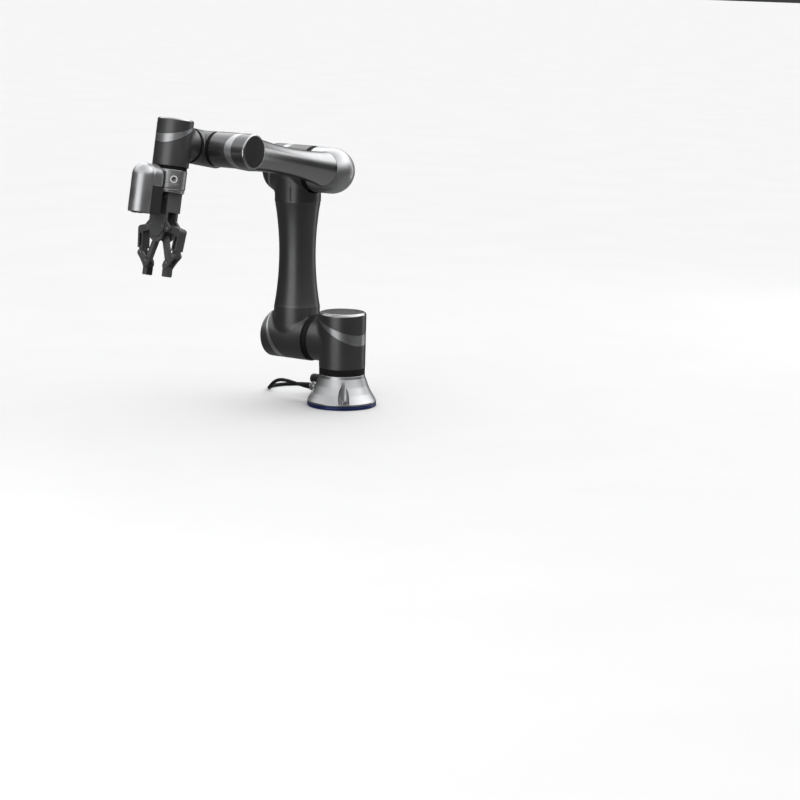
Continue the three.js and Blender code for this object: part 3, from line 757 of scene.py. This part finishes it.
def make_base_screw(number, angle):
    """A socket-head screw in its pocket."""
    name = f"base_screw_{number}"
    place = frame_at(
        Vector((SCREW["ring"] * math.cos(angle), SCREW["ring"] * math.sin(angle), 0)), UP, RIGHT,
    )
    seat = POCKET["floor"] + GAP
    head = seat + SCREW["height"]
    screw = shaped(name + "_socket", turned([
        (0, 0.5), (SCREW["shank"], 0.5, 0.4), (SCREW["shank"], seat), (SCREW["head"], seat, 0.3),
        (SCREW["head"], head, 0.8), (0, head),
    ], 48))
    without(screw, [hexagon(SCREW["hex"], head - 4, head + 1)])
    placed(screw, place, "root", STEEL, (name,), sharp=25)


# Joint housings


def fillet_surface(points, shape):
    """Signed distance, about, to a housing with its side arm, whose meeting is filleted."""
    x, y, z = points.T
    foot, head, length, rim = shape["foot"], shape["head"], shape["length"], shape["rim"]
    across = np.hypot(x, y)
    radius = foot + (head - foot) * np.clip(z / (length - rim), 0, 1)
    out, up = across - radius + rim, z - length + rim
    main = np.minimum(np.maximum(out, up), 0) + np.hypot(np.maximum(out, 0), np.maximum(up, 0)) - rim
    beside = np.hypot(y, z - shape["stub_at"])
    before = np.minimum(-x - 0.5 * foot, 0)
    arm = np.hypot(beside, before) - shape["stub"]
    parallel = y * y / np.maximum(across * beside, 1e-6)
    low = np.clip(z / 34, 0, 1)
    blend = shape["fillet"] * np.clip(1 - parallel, 0, 1) * low * low * (3 - 2 * low) + 1e-3
    near = np.maximum(blend - np.abs(main - arm), 0) / blend
    return np.minimum(main, arm) - near * near * blend / 4


def settled(points, shape, rounds=4):
    """Points moved onto the housing's surface."""
    step = 0.05
    for _ in range(rounds):
        value = fillet_surface(points, shape)
        slope = np.stack([
            (fillet_surface(points + step * axis, shape) - fillet_surface(points - step * axis, shape)) / (
                2 * step
            )
            for axis in np.eye(3)
        ], axis=1)
        steep = np.maximum((slope * slope).sum(axis=1), 0.2)
        points = points - slope * (value / steep)[:, None]
    return points


def housing_skin(shape):
    """The outer skin of a housing and its arm as one even mesh lying on the filleted surface."""
    length, rim, head, extra = shape["length"], shape["rim"], shape["head"], 8
    body = turned(
        [
            (0, -extra), (shape["foot"], -extra), (shape["foot"], 0), (head, length - rim),
            (head, length, rim), (0, length),
        ],
    )
    arm = moved(rod(shape["stub"], 0, shape["reach"] + extra), "Y", -90, (0, 0, shape["stub_at"]))
    skin = united("skin", [body, arm])
    remesh = skin.modifiers.new("even", "REMESH")
    remesh.mode = "VOXEL"
    remesh.voxel_size = shape["voxel"] * MM
    baked(skin)
    mesh = skin.data
    points = np.empty(len(mesh.vertices) * 3, np.float32)
    mesh.vertices.foreach_get("co", points)
    points = points.reshape(-1, 3).astype(float) / MM
    middle = (points[:, 2] > 1 - extra) & (points[:, 0] > -shape["reach"] - extra + 1)
    edges = np.empty(len(mesh.edges) * 2, np.int32)
    mesh.edges.foreach_get("vertices", edges)
    edges = edges.reshape(-1, 2)
    for _ in range(3):
        points[middle] = settled(points[middle], shape)
        total, count = np.zeros_like(points), np.zeros(len(points))
        for a, b in (edges.T, edges.T[::-1]):
            np.add.at(total, a, points[b])
            np.add.at(count, a, 1)
        points[middle] += 0.5 * (total[middle] / count[middle, None] - points[middle])
    points[middle] = settled(points[middle], shape)
    mesh.vertices.foreach_set("co", (points * MM).astype(np.float32).ravel())
    mesh.update()
    return skin


def above(shape, edge, shift):
    """A block over the oblique plane at one edge of the band."""
    drop, spread = edge
    size = 300
    bm = moved(
        block((-size, -size, 0), (size, size, size)), "Y",
        math.degrees(math.atan(spread / shape["head"])),
    )
    return shaped("above", moved(bm, by=(0, 0, shape["length"] - drop + spread + shift)))


def copied(obj):
    copy = obj.copy()
    copy.data = obj.data.copy()
    bpy.context.scene.collection.objects.link(copy)
    return copy


def make_housing(name, place, body, shape, paint, slits=()):
    """Casting, oblique silver band and cap of one joint housing, with its plate and trim ring."""
    foot, head, length, rim = shape["foot"], shape["head"], shape["length"], shape["rim"]
    reach, stub, stub_at = shape["reach"], shape["stub"], shape["stub_at"]
    skin = housing_skin(shape)
    far = 400
    open_end = reach + 1 if shape["open"] else reach - WALL
    dish = head - rim - 1
    without(skin, [
        block((-far, -far, -far), (-reach, far, far)),
        rod(foot + 2, -length, 0, 128),
        block((-shape["foot"] + 2, -far, -far), (far, far, 0)),
        rod(foot - WALL, WALL, length - rim - 3),
        rod(foot / 2, -20, WALL + 1),
        moved(rod(stub - WALL, 0, open_end), "Y", -90, (0, 0, stub_at)),
        rod(dish + 0.3, length - 1.2, length + 5, 128),
        *slits,
    ])
    upper, lower = shape["band"]
    cap, band = copied(skin), copied(skin)
    combined(skin, above(shape, lower, -GAP / 2))
    combined(band, above(shape, lower, GAP / 2), "INTERSECT")
    combined(band, above(shape, upper, -GAP / 2))
    combined(cap, above(shape, upper, GAP / 2), "INTERSECT")
    combined(cap, shaped("over", block((-far, -far, length - 0.8 * rim - 0.1), (far, far, far))))
    for obj, part in ((skin, "shell"), (band, "stripe"), (cap, "lid")):
        obj.name = f"{name}_{part}"
    placed(skin, place, body, paint, (name + "_casting",))
    placed(band, place, body, SILVER, (name + "_band",))
    placed(cap, place, body, paint, (name + "_cap",))
    steps, low = 12, math.asin(0.2)
    angles = [low + (math.pi / 2 - low) * k / steps for k in range(steps + 1)]
    curve = [(head - rim + rim * math.cos(a), length - rim + rim * math.sin(a)) for a in angles]
    trim = turned([(dish + 0.3, curve[0][1]), *curve, (dish + 0.3, length)], 128)
    placed(shaped(name + "_trim", trim), place, body, TRIM, (name + "_cap",))
    plate = turned([
        (0, length - 1.1), (dish, length - 1.1), (dish, length - 0.5, 0.4),
        (dish - 1.5, length - 0.4), (0, length - 0.35),
    ])
    placed(shaped(name + "_plate", plate), place, body, DISC, (name + "_cap",))
    dress_drive(name + "_drive")


def flared(bore, first, last, rings, radius_at):
    """The profile of a hollow tube whose outer radius changes along it."""
    heights = [first + (last - first) * k / rings for k in range(rings + 1)]
    return [(bore, first), *((radius_at(z), z) for z in heights), (bore, last)]


def dress_drive(node):
    """The motor and gear inside stays the CAD solid, in machined steel."""
    obj = frame["nodes"][node]
    obj.data.materials.clear()
    obj.data.materials.append(STEEL)


def ring_seal(node, place, body, radius, thickness):
    """A rubber ring between two housings, with two shallow lip grooves."""
    inner, outer = radius / 2 + 1, radius - 3
    top, bottom = -GAP, -thickness + GAP
    span = top - bottom
    corners = [(inner, bottom), (outer, bottom, 1.5)]
    for share in (0.3, 0.7):
        z = bottom + span * share
        corners += [
            (outer, z - 0.9, 0.3), (outer - 0.9, z - 0.3, 0.3), (outer - 0.9, z + 0.3, 0.3),
            (outer, z + 0.9, 0.3),
        ]
    corners += [(outer, top, 1.5), (inner, top)]
    ring = shaped(node + "_ring", turned(corners, 128))
    placed(ring, place, body, RUBBER, (node,), sharp=50)


def make_shoulder():
    place = frame_at(UP * TURNTABLE["start"], UP, RIGHT)
    make_housing("shoulder", place, "shoulder", {
        "length": TURNTABLE["length"], "foot": TURNTABLE["foot"], "head": TURNTABLE["head"], "rim": BIG_RIM,
        "stub": BIG - 3, "reach": -SHOULDER["face"], "stub_at": SHOULDER_HEIGHT - TURNTABLE["start"],
        "open": False, "band": TALL_BAND, "fillet": 24, "voxel": 2.4,
    }, PAINT)


def make_upper_arm():
    start = SHOULDER["face"] - SHOULDER["seal"]
    place = frame_at(Vector((start, 0, SHOULDER_HEIGHT)), LEFT, DOWN)
    big = {
        "foot": BIG, "head": BIG, "rim": BIG_RIM, "stub": BIG, "open": True, "band": BIG_BAND,
        "fillet": 24, "voxel": 2.4,
    }
    lower = {
        "length": start - SHOULDER["end"], "reach": SHOULDER["collar"],
        "stub_at": start - SHOULDER["arm"],
    }
    make_housing("lower_joint", place, "upper_arm", {**big, **lower}, PAINT)
    ring_seal("shoulder_seal", place, "upper_arm", BIG, SHOULDER["seal"])

    start = ELBOW["face"] - ELBOW["seal"]
    place = frame_at(Vector((start, 0, ELBOW_AXIS.z)), LEFT, UP)
    upper = {"length": start - ELBOW["end"], "reach": ELBOW["collar"], "stub_at": start - SHOULDER["arm"]}
    make_housing(
        "upper_joint", place, "upper_arm", {**big, **upper}, PAINT,
        [collar_slit(start)],
    )
    ring_seal("elbow_seal", place, "upper_arm", BIG, ELBOW["seal"])

    collar, waist, bore = (UPPER_TUBE[k] for k in ("collar", "waist", "bore"))
    first, last = SHOULDER["collar"] + GAP, UPPER_ARM - ELBOW["collar"] - GAP

    def radius_at(z):
        across = 2 * (z - first) / (last - first) - 1
        return waist + (collar - waist) * across ** 2

    tube = shaped("upper_tube", turned(flared(bore, first, last, 36, radius_at), 128))
    at = frame_at(Vector((SHOULDER["arm"], 0, SHOULDER_HEIGHT)), UP, RIGHT)
    placed(tube, at, "upper_arm", PAINT, ("upper_arm_tube",))


def collar_slit(start):
    """The narrow upright slit in the front of the upper collar, in the housing's frame."""
    turn, low, high, half = math.radians(-70), 46, 74, 3.2
    out = Vector((math.cos(turn), math.sin(turn), 0)) * BIG
    bm = moved(rod(half, -4, 6, 24))
    for v in bm.verts:
        v.co.x += (high - low) / 2 if v.co.x > 0 else -(high - low) / 2
    moved(bm, "Y", 90)
    moved(bm, "Z", math.degrees(turn), (out.x, out.y, 0))
    world_to_housing = frame_at(Vector((start, 0, 0)), LEFT, UP).to_3x3().inverted()
    bmesh.ops.transform(bm, matrix=world_to_housing.to_4x4(), verts=bm.verts)
    middle = Vector((-(low + high) / 2, 0, start - SHOULDER["arm"]))
    return moved(bm, by=middle)


def make_forearm():
    place = frame_at(ELBOW_AXIS + RIGHT * ELBOW["face"], RIGHT, AHEAD)
    middle, radius = ELBOW["centre"] - ELBOW["face"], ELBOW["dome"]
    profile = [(0, 0), (radius, 0, 1.2), (radius, middle)]
    rings = 28
    for k in range(1, rings + 1):
        a = math.pi / 2 * k / rings
        profile.append((radius * math.cos(a) if k < rings else 0, middle + radius * math.sin(a)))
    dome = shaped("elbow_dome", turned(profile, 128))

    def along(radius, start, stop):
        return moved(rod(radius, start, stop, 128), "Y", 90, (0, 0, middle))

    without(dome, [
        along(LOWER_TUBE["root"] + GAP, ELBOW["root"], radius + 10),
        rod(radius - 2 * WALL, WALL, middle),
        rod(radius / 2, -1, WALL + 1),
        along(LOWER_TUBE["root"] - 2 * WALL, 0, ELBOW["root"] + 1),
    ])
    placed(dome, place, "forearm", SILVER, ("elbow_casting",), edge=0.5)

    place = frame_at(ELBOW_AXIS + RIGHT * ELBOW["centre"], AHEAD, RIGHT)
    first, last = ELBOW["root"] + GAP, FOREARM - WRIST1["stub"] - GAP
    waist, waist_at = LOWER_TUBE["waist"], LOWER_TUBE["waist_at"]

    def radius_at(z):
        end, size = (first, LOWER_TUBE["root"]) if z < waist_at else (last, LOWER_TUBE["tip"])
        across = (z - waist_at) / (end - waist_at)
        return waist + (size - waist) * across ** 2

    profile = flared(LOWER_TUBE["bore"], first, last, 40, radius_at)
    placed(
        shaped("lower_tube", turned(profile, 128)), place, "forearm", TUBE,
        ("forearm_tube",),
    )

    place = frame_at(WRIST_AXIS + RIGHT * WRIST1["open"], RIGHT, AHEAD)
    make_housing("wrist_1", place, "forearm", {
        **SMALL_HOUSING, "length": WRIST1["cap"] - WRIST1["open"], "stub": LOWER_TUBE["tip"],
        "reach": WRIST1["stub"], "stub_at": ELBOW["centre"] - WRIST1["open"], "open": True,
    }, GLOSS)
    ring_seal("wrist_1_seal", place, "forearm", SMALL, WRIST1["seal"])


SMALL_HOUSING = {
    "foot": SMALL, "head": SMALL, "rim": SMALL_RIM, "open": False, "band": SMALL_BAND, "fillet": 18,
    "voxel": 1.8,
}


def make_wrist_2():
    place = frame_at(WRIST_AXIS + RIGHT * WRIST2["x"] + AHEAD * WRIST2["open"], -AHEAD, LEFT)
    make_housing("wrist_2", place, "wrist_2", {
        **SMALL_HOUSING, "length": WRIST2["open"] - WRIST2["back"], "stub": SMALL - 0.5,
        "reach": WRIST1["open"] - WRIST1["seal"] - WRIST2["x"], "stub_at": WRIST2["open"],
    }, PAINT)
    ring_seal("wrist_2_seal", place, "wrist_2", SMALL, WRIST2["seal"])


def make_wrist_3():
    place = frame_at(TOOL_CENTRE - TOOL_UP * WRIST3["bottom"], TOOL_UP, AHEAD)
    make_housing("wrist_3", place, "wrist_3", {
        **SMALL_HOUSING, "foot": WRIST3["radius"], "head": WRIST3["radius"],
        "length": WRIST3["bottom"] - WRIST3["top"], "stub": SMALL - 1,
        "reach": WRIST3["reach"] - WRIST2["open"] - WRIST2["seal"], "stub_at": WRIST3["bottom"],
    }, PAINT)
    ring_seal("wrist_3_seal", place, "wrist_3", WRIST3["radius"], WRIST3["seal"])


# Tool flange, camera and gripper


def sideways(bm):
    """bm, drawn about +Z, laid on the flange's side where the button is."""
    turn = math.radians(BUTTON["angle"])
    out = (FLANGE["radius"] * math.cos(turn), FLANGE["radius"] * math.sin(turn), -BUTTON["drop"])
    return moved(moved(bm, "Y", 90), "Z", BUTTON["angle"], out)


def make_flange():
    top, radius, end = WRIST3["bottom"] + WRIST3["seal"], FLANGE["radius"], FLANGE["end"]
    flange = shaped("flange_body", turned([
        (0, -end), (radius, -end, 2), (radius, -end + 12, 0.3), (radius - 0.5, -end + 12.3, 0.1),
        (radius - 0.5, -end + 12.9, 0.1), (radius, -end + 13.2, 0.3),
        *((radius, -end + 14 + k) for k in range(round(end - top) - 16)), (radius, -top, 1.2), (0, -top),
    ], 192))
    without(
        flange,
        [sideways(rod(BUTTON["radius"] + 2.2, -1.4, 6)), sideways(rod(BUTTON["radius"] + GAP, -11, 5))],
    )
    placed(flange, TOOL, "tool", SILVER, ("tool_flange",))
    inner, outer = BUTTON["radius"] + 0.5, BUTTON["radius"] + 2
    ring = turned([(inner, -1.3), (outer, -1.3), (outer, 0.7, 0.5), (inner, 0.7, 0.5)], 64)
    placed(shaped("button_lamp", sideways(ring)), TOOL, "tool", LAMP, ("tool_flange",))
    button = turned([
        (0, -BUTTON["depth"]), (BUTTON["radius"], -BUTTON["depth"], 0.4),
        (BUTTON["radius"], BUTTON["proud"], 0.9),
        (BUTTON["radius"] - 1.6, BUTTON["proud"], 0.4),
        (BUTTON["radius"] - 2.2, BUTTON["proud"] - 0.4, 0.4),
        (0, BUTTON["proud"] - 0.6),
    ], 48)
    placed(
        shaped("button_cap", sideways(button)), TOOL, "button", STEEL,
        ("freedrive_button",),
    )


def make_wrist_camera():
    half, back, split, top, bottom = (CAMERA[k] for k in ("half", "back", "split", "top", "bottom"))
    bracket = shaped("camera_arm", block((-20, -back + GAP, -108), (20, -30, -72), 1.5))
    without(bracket, [rod(FLANGE["radius"] + GAP, -120, -40, 128)])
    placed(bracket, TOOL, "tool", BLACK, ("camera_bracket",))

    dome = (0, top + half)
    seam = top + 2 * half - 4
    outline = [(-half, bottom), (-half, seam + GAP), (half, seam + GAP), (half, bottom)]
    body = placed(
        shaped("camera_back", slab(outline, back, split - GAP)), TOOL, "tool",
        BLACK, ("camera_body",),
    )
    bevelled(body, 1.5, 4)
    outline = [(-half, seam), *arc(dome, half, 180, 360, 40), (half, seam)]
    hood = placed(
        shaped("camera_hood", slab(outline, back, split - GAP)), TOOL, "tool",
        SILVER, ("camera_body",),
    )
    bevelled(hood, 7, 8)

    profile = [(0, -bottom), (half, -bottom, 2.2), (half, -top - half)]
    for k in range(1, 25):
        a = math.pi / 2 * k / 24
        profile.append((half * math.cos(a) if k < 24 else 0, -top - half + half * math.sin(a)))
    shell = shaped("camera_front", moved(turned(profile, 128), by=(0, -split, 0)))
    combined(shell, shaped("front", block((-60, -split - 60, -200), (60, -split, 0))), "INTERSECT")
    placed(shell, TOOL, "tool", SILVER, ("camera_shell",), edge=0.6)

    window = block((-14, -split - 16, -bottom - 2), (14, -split - 4, -bottom - GAP))
    window = placed(shaped("camera_glass", window), TOOL, "tool", GLASS, ("camera_window",))
    bevelled(window, 0.8, 3)
    for x in (-8, 8):
        at = (x, -split - 10, 0)
        ring = turned(
            [
                (2.6, -bottom - 2.6, 0.2), (4.2, -bottom - 2.6, 0.3), (4.2, -bottom - 1.9),
                (2.6, -bottom - 1.9),
            ],
            48,
        )
        side = "right" if x > 0 else "left"
        placed(
            shaped(f"camera_lens_{side}", moved(ring, by=at)), TOOL, "tool", TRIM,
            ("camera_window",),
        )


def make_gripper():
    radius, end = COUPLING["radius"], COUPLING["end"]
    top = FLANGE["end"] + GAP
    coupling = shaped("gripper_disc", turned([
        (0, -end), (radius - 1, -end, 0.8), (radius - 1, -end + 2.6, 0.2), (radius - 2, -end + 2.9, 0.2),
        (radius - 2, -end + 3.7, 0.2), (radius, -end + 4, 0.2), (radius, -top, 0.8), (0, -top),
    ], 128))
    placed(coupling, TOOL, "tool", SILVER, ("gripper_coupling",))

    half, back, front, shoulder, cover = (
        GRIPPER[k] for k in ("half", "back", "front", "shoulder", "cover")
    )
    start, clear = end + GAP, LINK["wide"] + 1.5
    cheek = [
        (-half, start), (half, start), (half, 190), (18, 228), (6, 236), (-6, 236), (-18, 228),
        (-half, 190),
    ]
    sides = ((clear, front), (-front, -clear))
    parts = [slab([(-half, start), (half, start), (half, shoulder), (-half, shoulder)], back, front)]
    parts += [slab(cheek, *side) for side in sides]
    for x in (-1, 1):
        outer, inner = ((x * px, drop) for px, drop in (PIVOT["outer"], PIVOT["inner"]))
        parts += [slab(bar((x * 14, 186), outer, 8), *side) for side in sides]
        parts += [slab(disc(at, PIN["radius"]), -clear - 1, clear + 1) for at in (outer, inner)]
    body = united("gripper_frame", parts)
    placed(body, TOOL, "tool", ANODISED, ("gripper_body",), edge=0.7)

    seam = 172
    face = [(-half, seam), (half, seam), (half, 206), (9, 224), (-9, 224), (-half, 206)]
    plate = shaped("gripper_plate", slab(face, front + GAP, front + GAP + cover))
    placed(plate, TOOL, "tool", ANODISED, ("gripper_cover",), edge=0.9)
    face = [(-half, 124), (half, 124), (half, seam - GAP), (-half, seam - GAP)]
    panel = shaped("gripper_panel", slab(face, front + GAP, front + GAP + cover - 0.6))
    placed(panel, TOOL, "tool", BLACK, ("gripper_cover",), edge=0.6)
    for x in (-1, 1):
        for drop in (130, 198):
            pin_head(
                f"cover_screw_{'left' if x < 0 else 'right'}_{drop}", (x * 17.5, drop),
                front + GAP + cover, 2.6, "tool",
            )


def pin_head(name, at, depth, radius, body, facing=1):
    """A small socket screw whose head stands on a face `depth` in front of the tool's middle."""
    head = shaped(name, turned([(0, -1), (radius, -1), (radius, 1, 0.4), (0, 1)], 32))
    without(head, [hexagon(radius * 0.55, 0.2, 2)])
    place = TOOL @ frame_at(Vector((at[0], -depth * facing, -at[1])), Vector((0, -facing, 0)), RIGHT)
    return placed(head, place, body, STEEL, sharp=25)


def make_finger(name, side):
    """One finger on its parallel linkage: side is +1 for +X and -1 for -X."""
    wide, narrow = LINK["wide"], LINK["narrow"]

    def mirrored(outline):
        return [(side * x, drop) for x, drop in outline]

    def piece(a, b, radius, depth):
        return slab(mirrored(bar(a, b, radius)), -depth, depth)

    def hole(at, radius, depth):
        return slab(mirrored(disc(at, radius)), -depth, depth)

    outer_pin, inner_pin, swing = PIVOT["outer"], PIVOT["inner"], PIVOT["swing"]
    outer_end = (outer_pin[0] + swing[0], outer_pin[1] + swing[1])
    inner_end = (inner_pin[0] + swing[0], inner_pin[1] + swing[1])

    def side_cut(low, high):
        return block((-120, low, -outer_end[1] - 20), (120, high, -outer_end[1] + 11))

    outer = united(name + "_outer_bar", [
        piece(outer_pin, KNUCKLE, LINK["outer"] + 0.5, wide),
        piece(KNUCKLE, outer_end, LINK["outer"], wide),
    ])
    without(outer, [
        side_cut(-40, -narrow), side_cut(narrow, 40), hole(outer_pin, PIN["hole"], 20),
        hole(outer_end, PIN["hole"], 20),
        slab(mirrored(bar((54, 222), (51, 248), 3.2)), -20, 20),
    ])
    placed(outer, TOOL, name + "_outer", ANODISED, (name + "_outer_link",), edge=0.8)

    inner = united(name + "_inner_bar", [piece(inner_pin, inner_end, LINK["inner"], narrow)])
    without(inner, [hole(inner_pin, PIN["hole"] - 0.1, 20), hole(inner_end, PIN["hole"] - 0.1, 20)])
    placed(inner, TOOL, name + "_inner", ANODISED, (name + "_inner_link",), edge=0.8)

    inside, outside, depth, top, end = (FINGER[k] for k in ("inside", "outside", "depth", "top", "end"))
    tip_middle = ((inside + outside) / 2, top + 4)
    tip = [(inside, top), (outside, top), *arc((outside - 3, end - 3), 3, 0, 90, 6), (inside, end)]
    finger = united(name + "_finger_body", [
        piece(outer_end, inner_end, LINK["outer"], wide), piece(inner_end, tip_middle, LINK["outer"], wide),
        piece(outer_end, tip_middle, LINK["outer"] - 1, wide), slab(mirrored(tip), -depth, depth),
    ])
    without(finger, [block((-120, -narrow - 0.4, -FINGER["slot"]), (120, narrow + 0.4, -100))])
    for at in (outer_end, inner_end):
        combined(finger, shaped("pin", hole(at, PIN["radius"], narrow + 1)), "UNION")
    placed(finger, TOOL, name + "_finger", ANODISED, (name + "_finger",), edge=0.8)

    near, far = inside - GAP - PAD["thickness"], inside - GAP
    face = [(far, PAD["top"]), (far, PAD["end"])]
    teeth = 7
    pitch = (PAD["end"] - PAD["top"]) / teeth
    for k in reversed(range(teeth)):
        drop = PAD["top"] + pitch * k
        face += [
            (near, drop + 0.85 * pitch), (near, drop + 0.35 * pitch),
            (near + 0.7, drop + 0.2 * pitch), (near + 0.7, drop),
        ]
    pad = shaped(name + "_grip_pad", slab(mirrored(face), -PAD["depth"], PAD["depth"]))
    placed(pad, TOOL, name + "_finger", RUBBER, (name + "_pad",))

    for at, part in ((outer_end, "outer"), (inner_end, "inner")):
        for facing, end_name in ((1, "front"), (-1, "rear")):
            pin_head(
                f"{name}_{part}_pin_{end_name}", (side * at[0], at[1]), wide, 3.4, name + "_finger",
                facing,
            )
    for facing, end_name in ((1, "front"), (-1, "rear")):
        pin_head(
            f"{name}_root_pin_{end_name}", (side * outer_pin[0], outer_pin[1]), GRIPPER["front"],
            4.2, "tool", facing,
        )


# Floor and light


def make_floor():
    bm = bmesh.new()
    bmesh.ops.create_grid(bm, x_segments=8, y_segments=8, size=30)
    mesh = bpy.data.meshes.new("floor")
    bm.to_mesh(mesh)
    bm.free()
    floor = linked("floor", mesh)
    mesh.materials.append(finished(
        "pale_floor", 0.0, ((0.84, 0.84, 0.845), (0.86, 0.86, 0.865), 3), (0.7, 0.8, 5),
        [(0.02, 0.2, 40, 3)], specular=0.2,
    ))
    floor.visible_glossy = False
    floor.visible_diffuse = False


def area_light(name, at, size, brightness):
    """A soft box aimed at the arm, which the camera doesn't see. brightness is its radiance."""
    data = bpy.data.lights.new(name, "AREA")
    data.shape = "RECTANGLE"
    data.size, data.size_y = size
    data.energy = brightness * math.pi * size[0] * size[1]
    light = linked(name, data)
    light.location = at
    light.rotation_euler = (Vector((-0.1, -0.2, 0.4)) - Vector(at)).to_track_quat("-Z", "Y").to_euler()
    light.visible_camera = False


# Height on the studio's sphere, from 0 straight down to 1 overhead, and its brightness there
STUDIO = [
    (0, 0.25), (0.36, 0.2), (0.44, 0.05), (0.61, 0.045), (0.68, 0.6), (0.74, 2.3), (0.85, 2.0),
    (1, 1.2),
]


def make_light():
    area_light("key", (0.1, -3.2, 0.45), (2.4, 2.0), 1.6)
    area_light("edge", (0.9, 2.7, 0.6), (0.5, 2.4), 1.8)
    world = bpy.data.worlds.new("studio")
    bpy.context.scene.world = world
    world.use_nodes = True
    tree = world.node_tree
    height = tree.nodes.new("ShaderNodeSeparateXYZ")
    tree.links.new(tree.nodes.new("ShaderNodeTexCoord").outputs["Generated"], height.inputs["Vector"])
    scaled = tree.nodes.new("ShaderNodeMapRange")
    scaled.inputs["From Min"].default_value = -1
    tree.links.new(height.outputs["Z"], scaled.inputs["Value"])
    ramp = tree.nodes.new("ShaderNodeValToRGB")
    stops = ramp.color_ramp.elements
    while len(stops) < len(STUDIO):
        stops.new(0.5)
    for stop, (at, brightness) in zip(stops, STUDIO):
        stop.position = at
        stop.color = (brightness, brightness, brightness, 1)
    tree.links.new(scaled.outputs["Result"], ramp.inputs["Fac"])
    tree.links.new(ramp.outputs["Color"], tree.nodes["Background"].inputs["Color"])
    side = tree.nodes.new("ShaderNodeMapRange")
    for key, value in zip(("From Min", "From Max", "To Min", "To Max"), (-0.4, 0.5, 0.45, 1.0)):
        side.inputs[key].default_value = value
    tree.links.new(height.outputs["Y"], side.inputs["Value"])
    tree.links.new(side.outputs["Result"], tree.nodes["Background"].inputs["Strength"])
    bpy.context.scene.view_settings.view_transform = "Standard"


make_camera()
make_cable()
make_base()
make_shoulder()
make_upper_arm()
make_forearm()
make_wrist_2()
make_wrist_3()
make_flange()
make_wrist_camera()
make_gripper()
make_finger("right", 1)
make_finger("left", -1)
make_floor()
make_light()
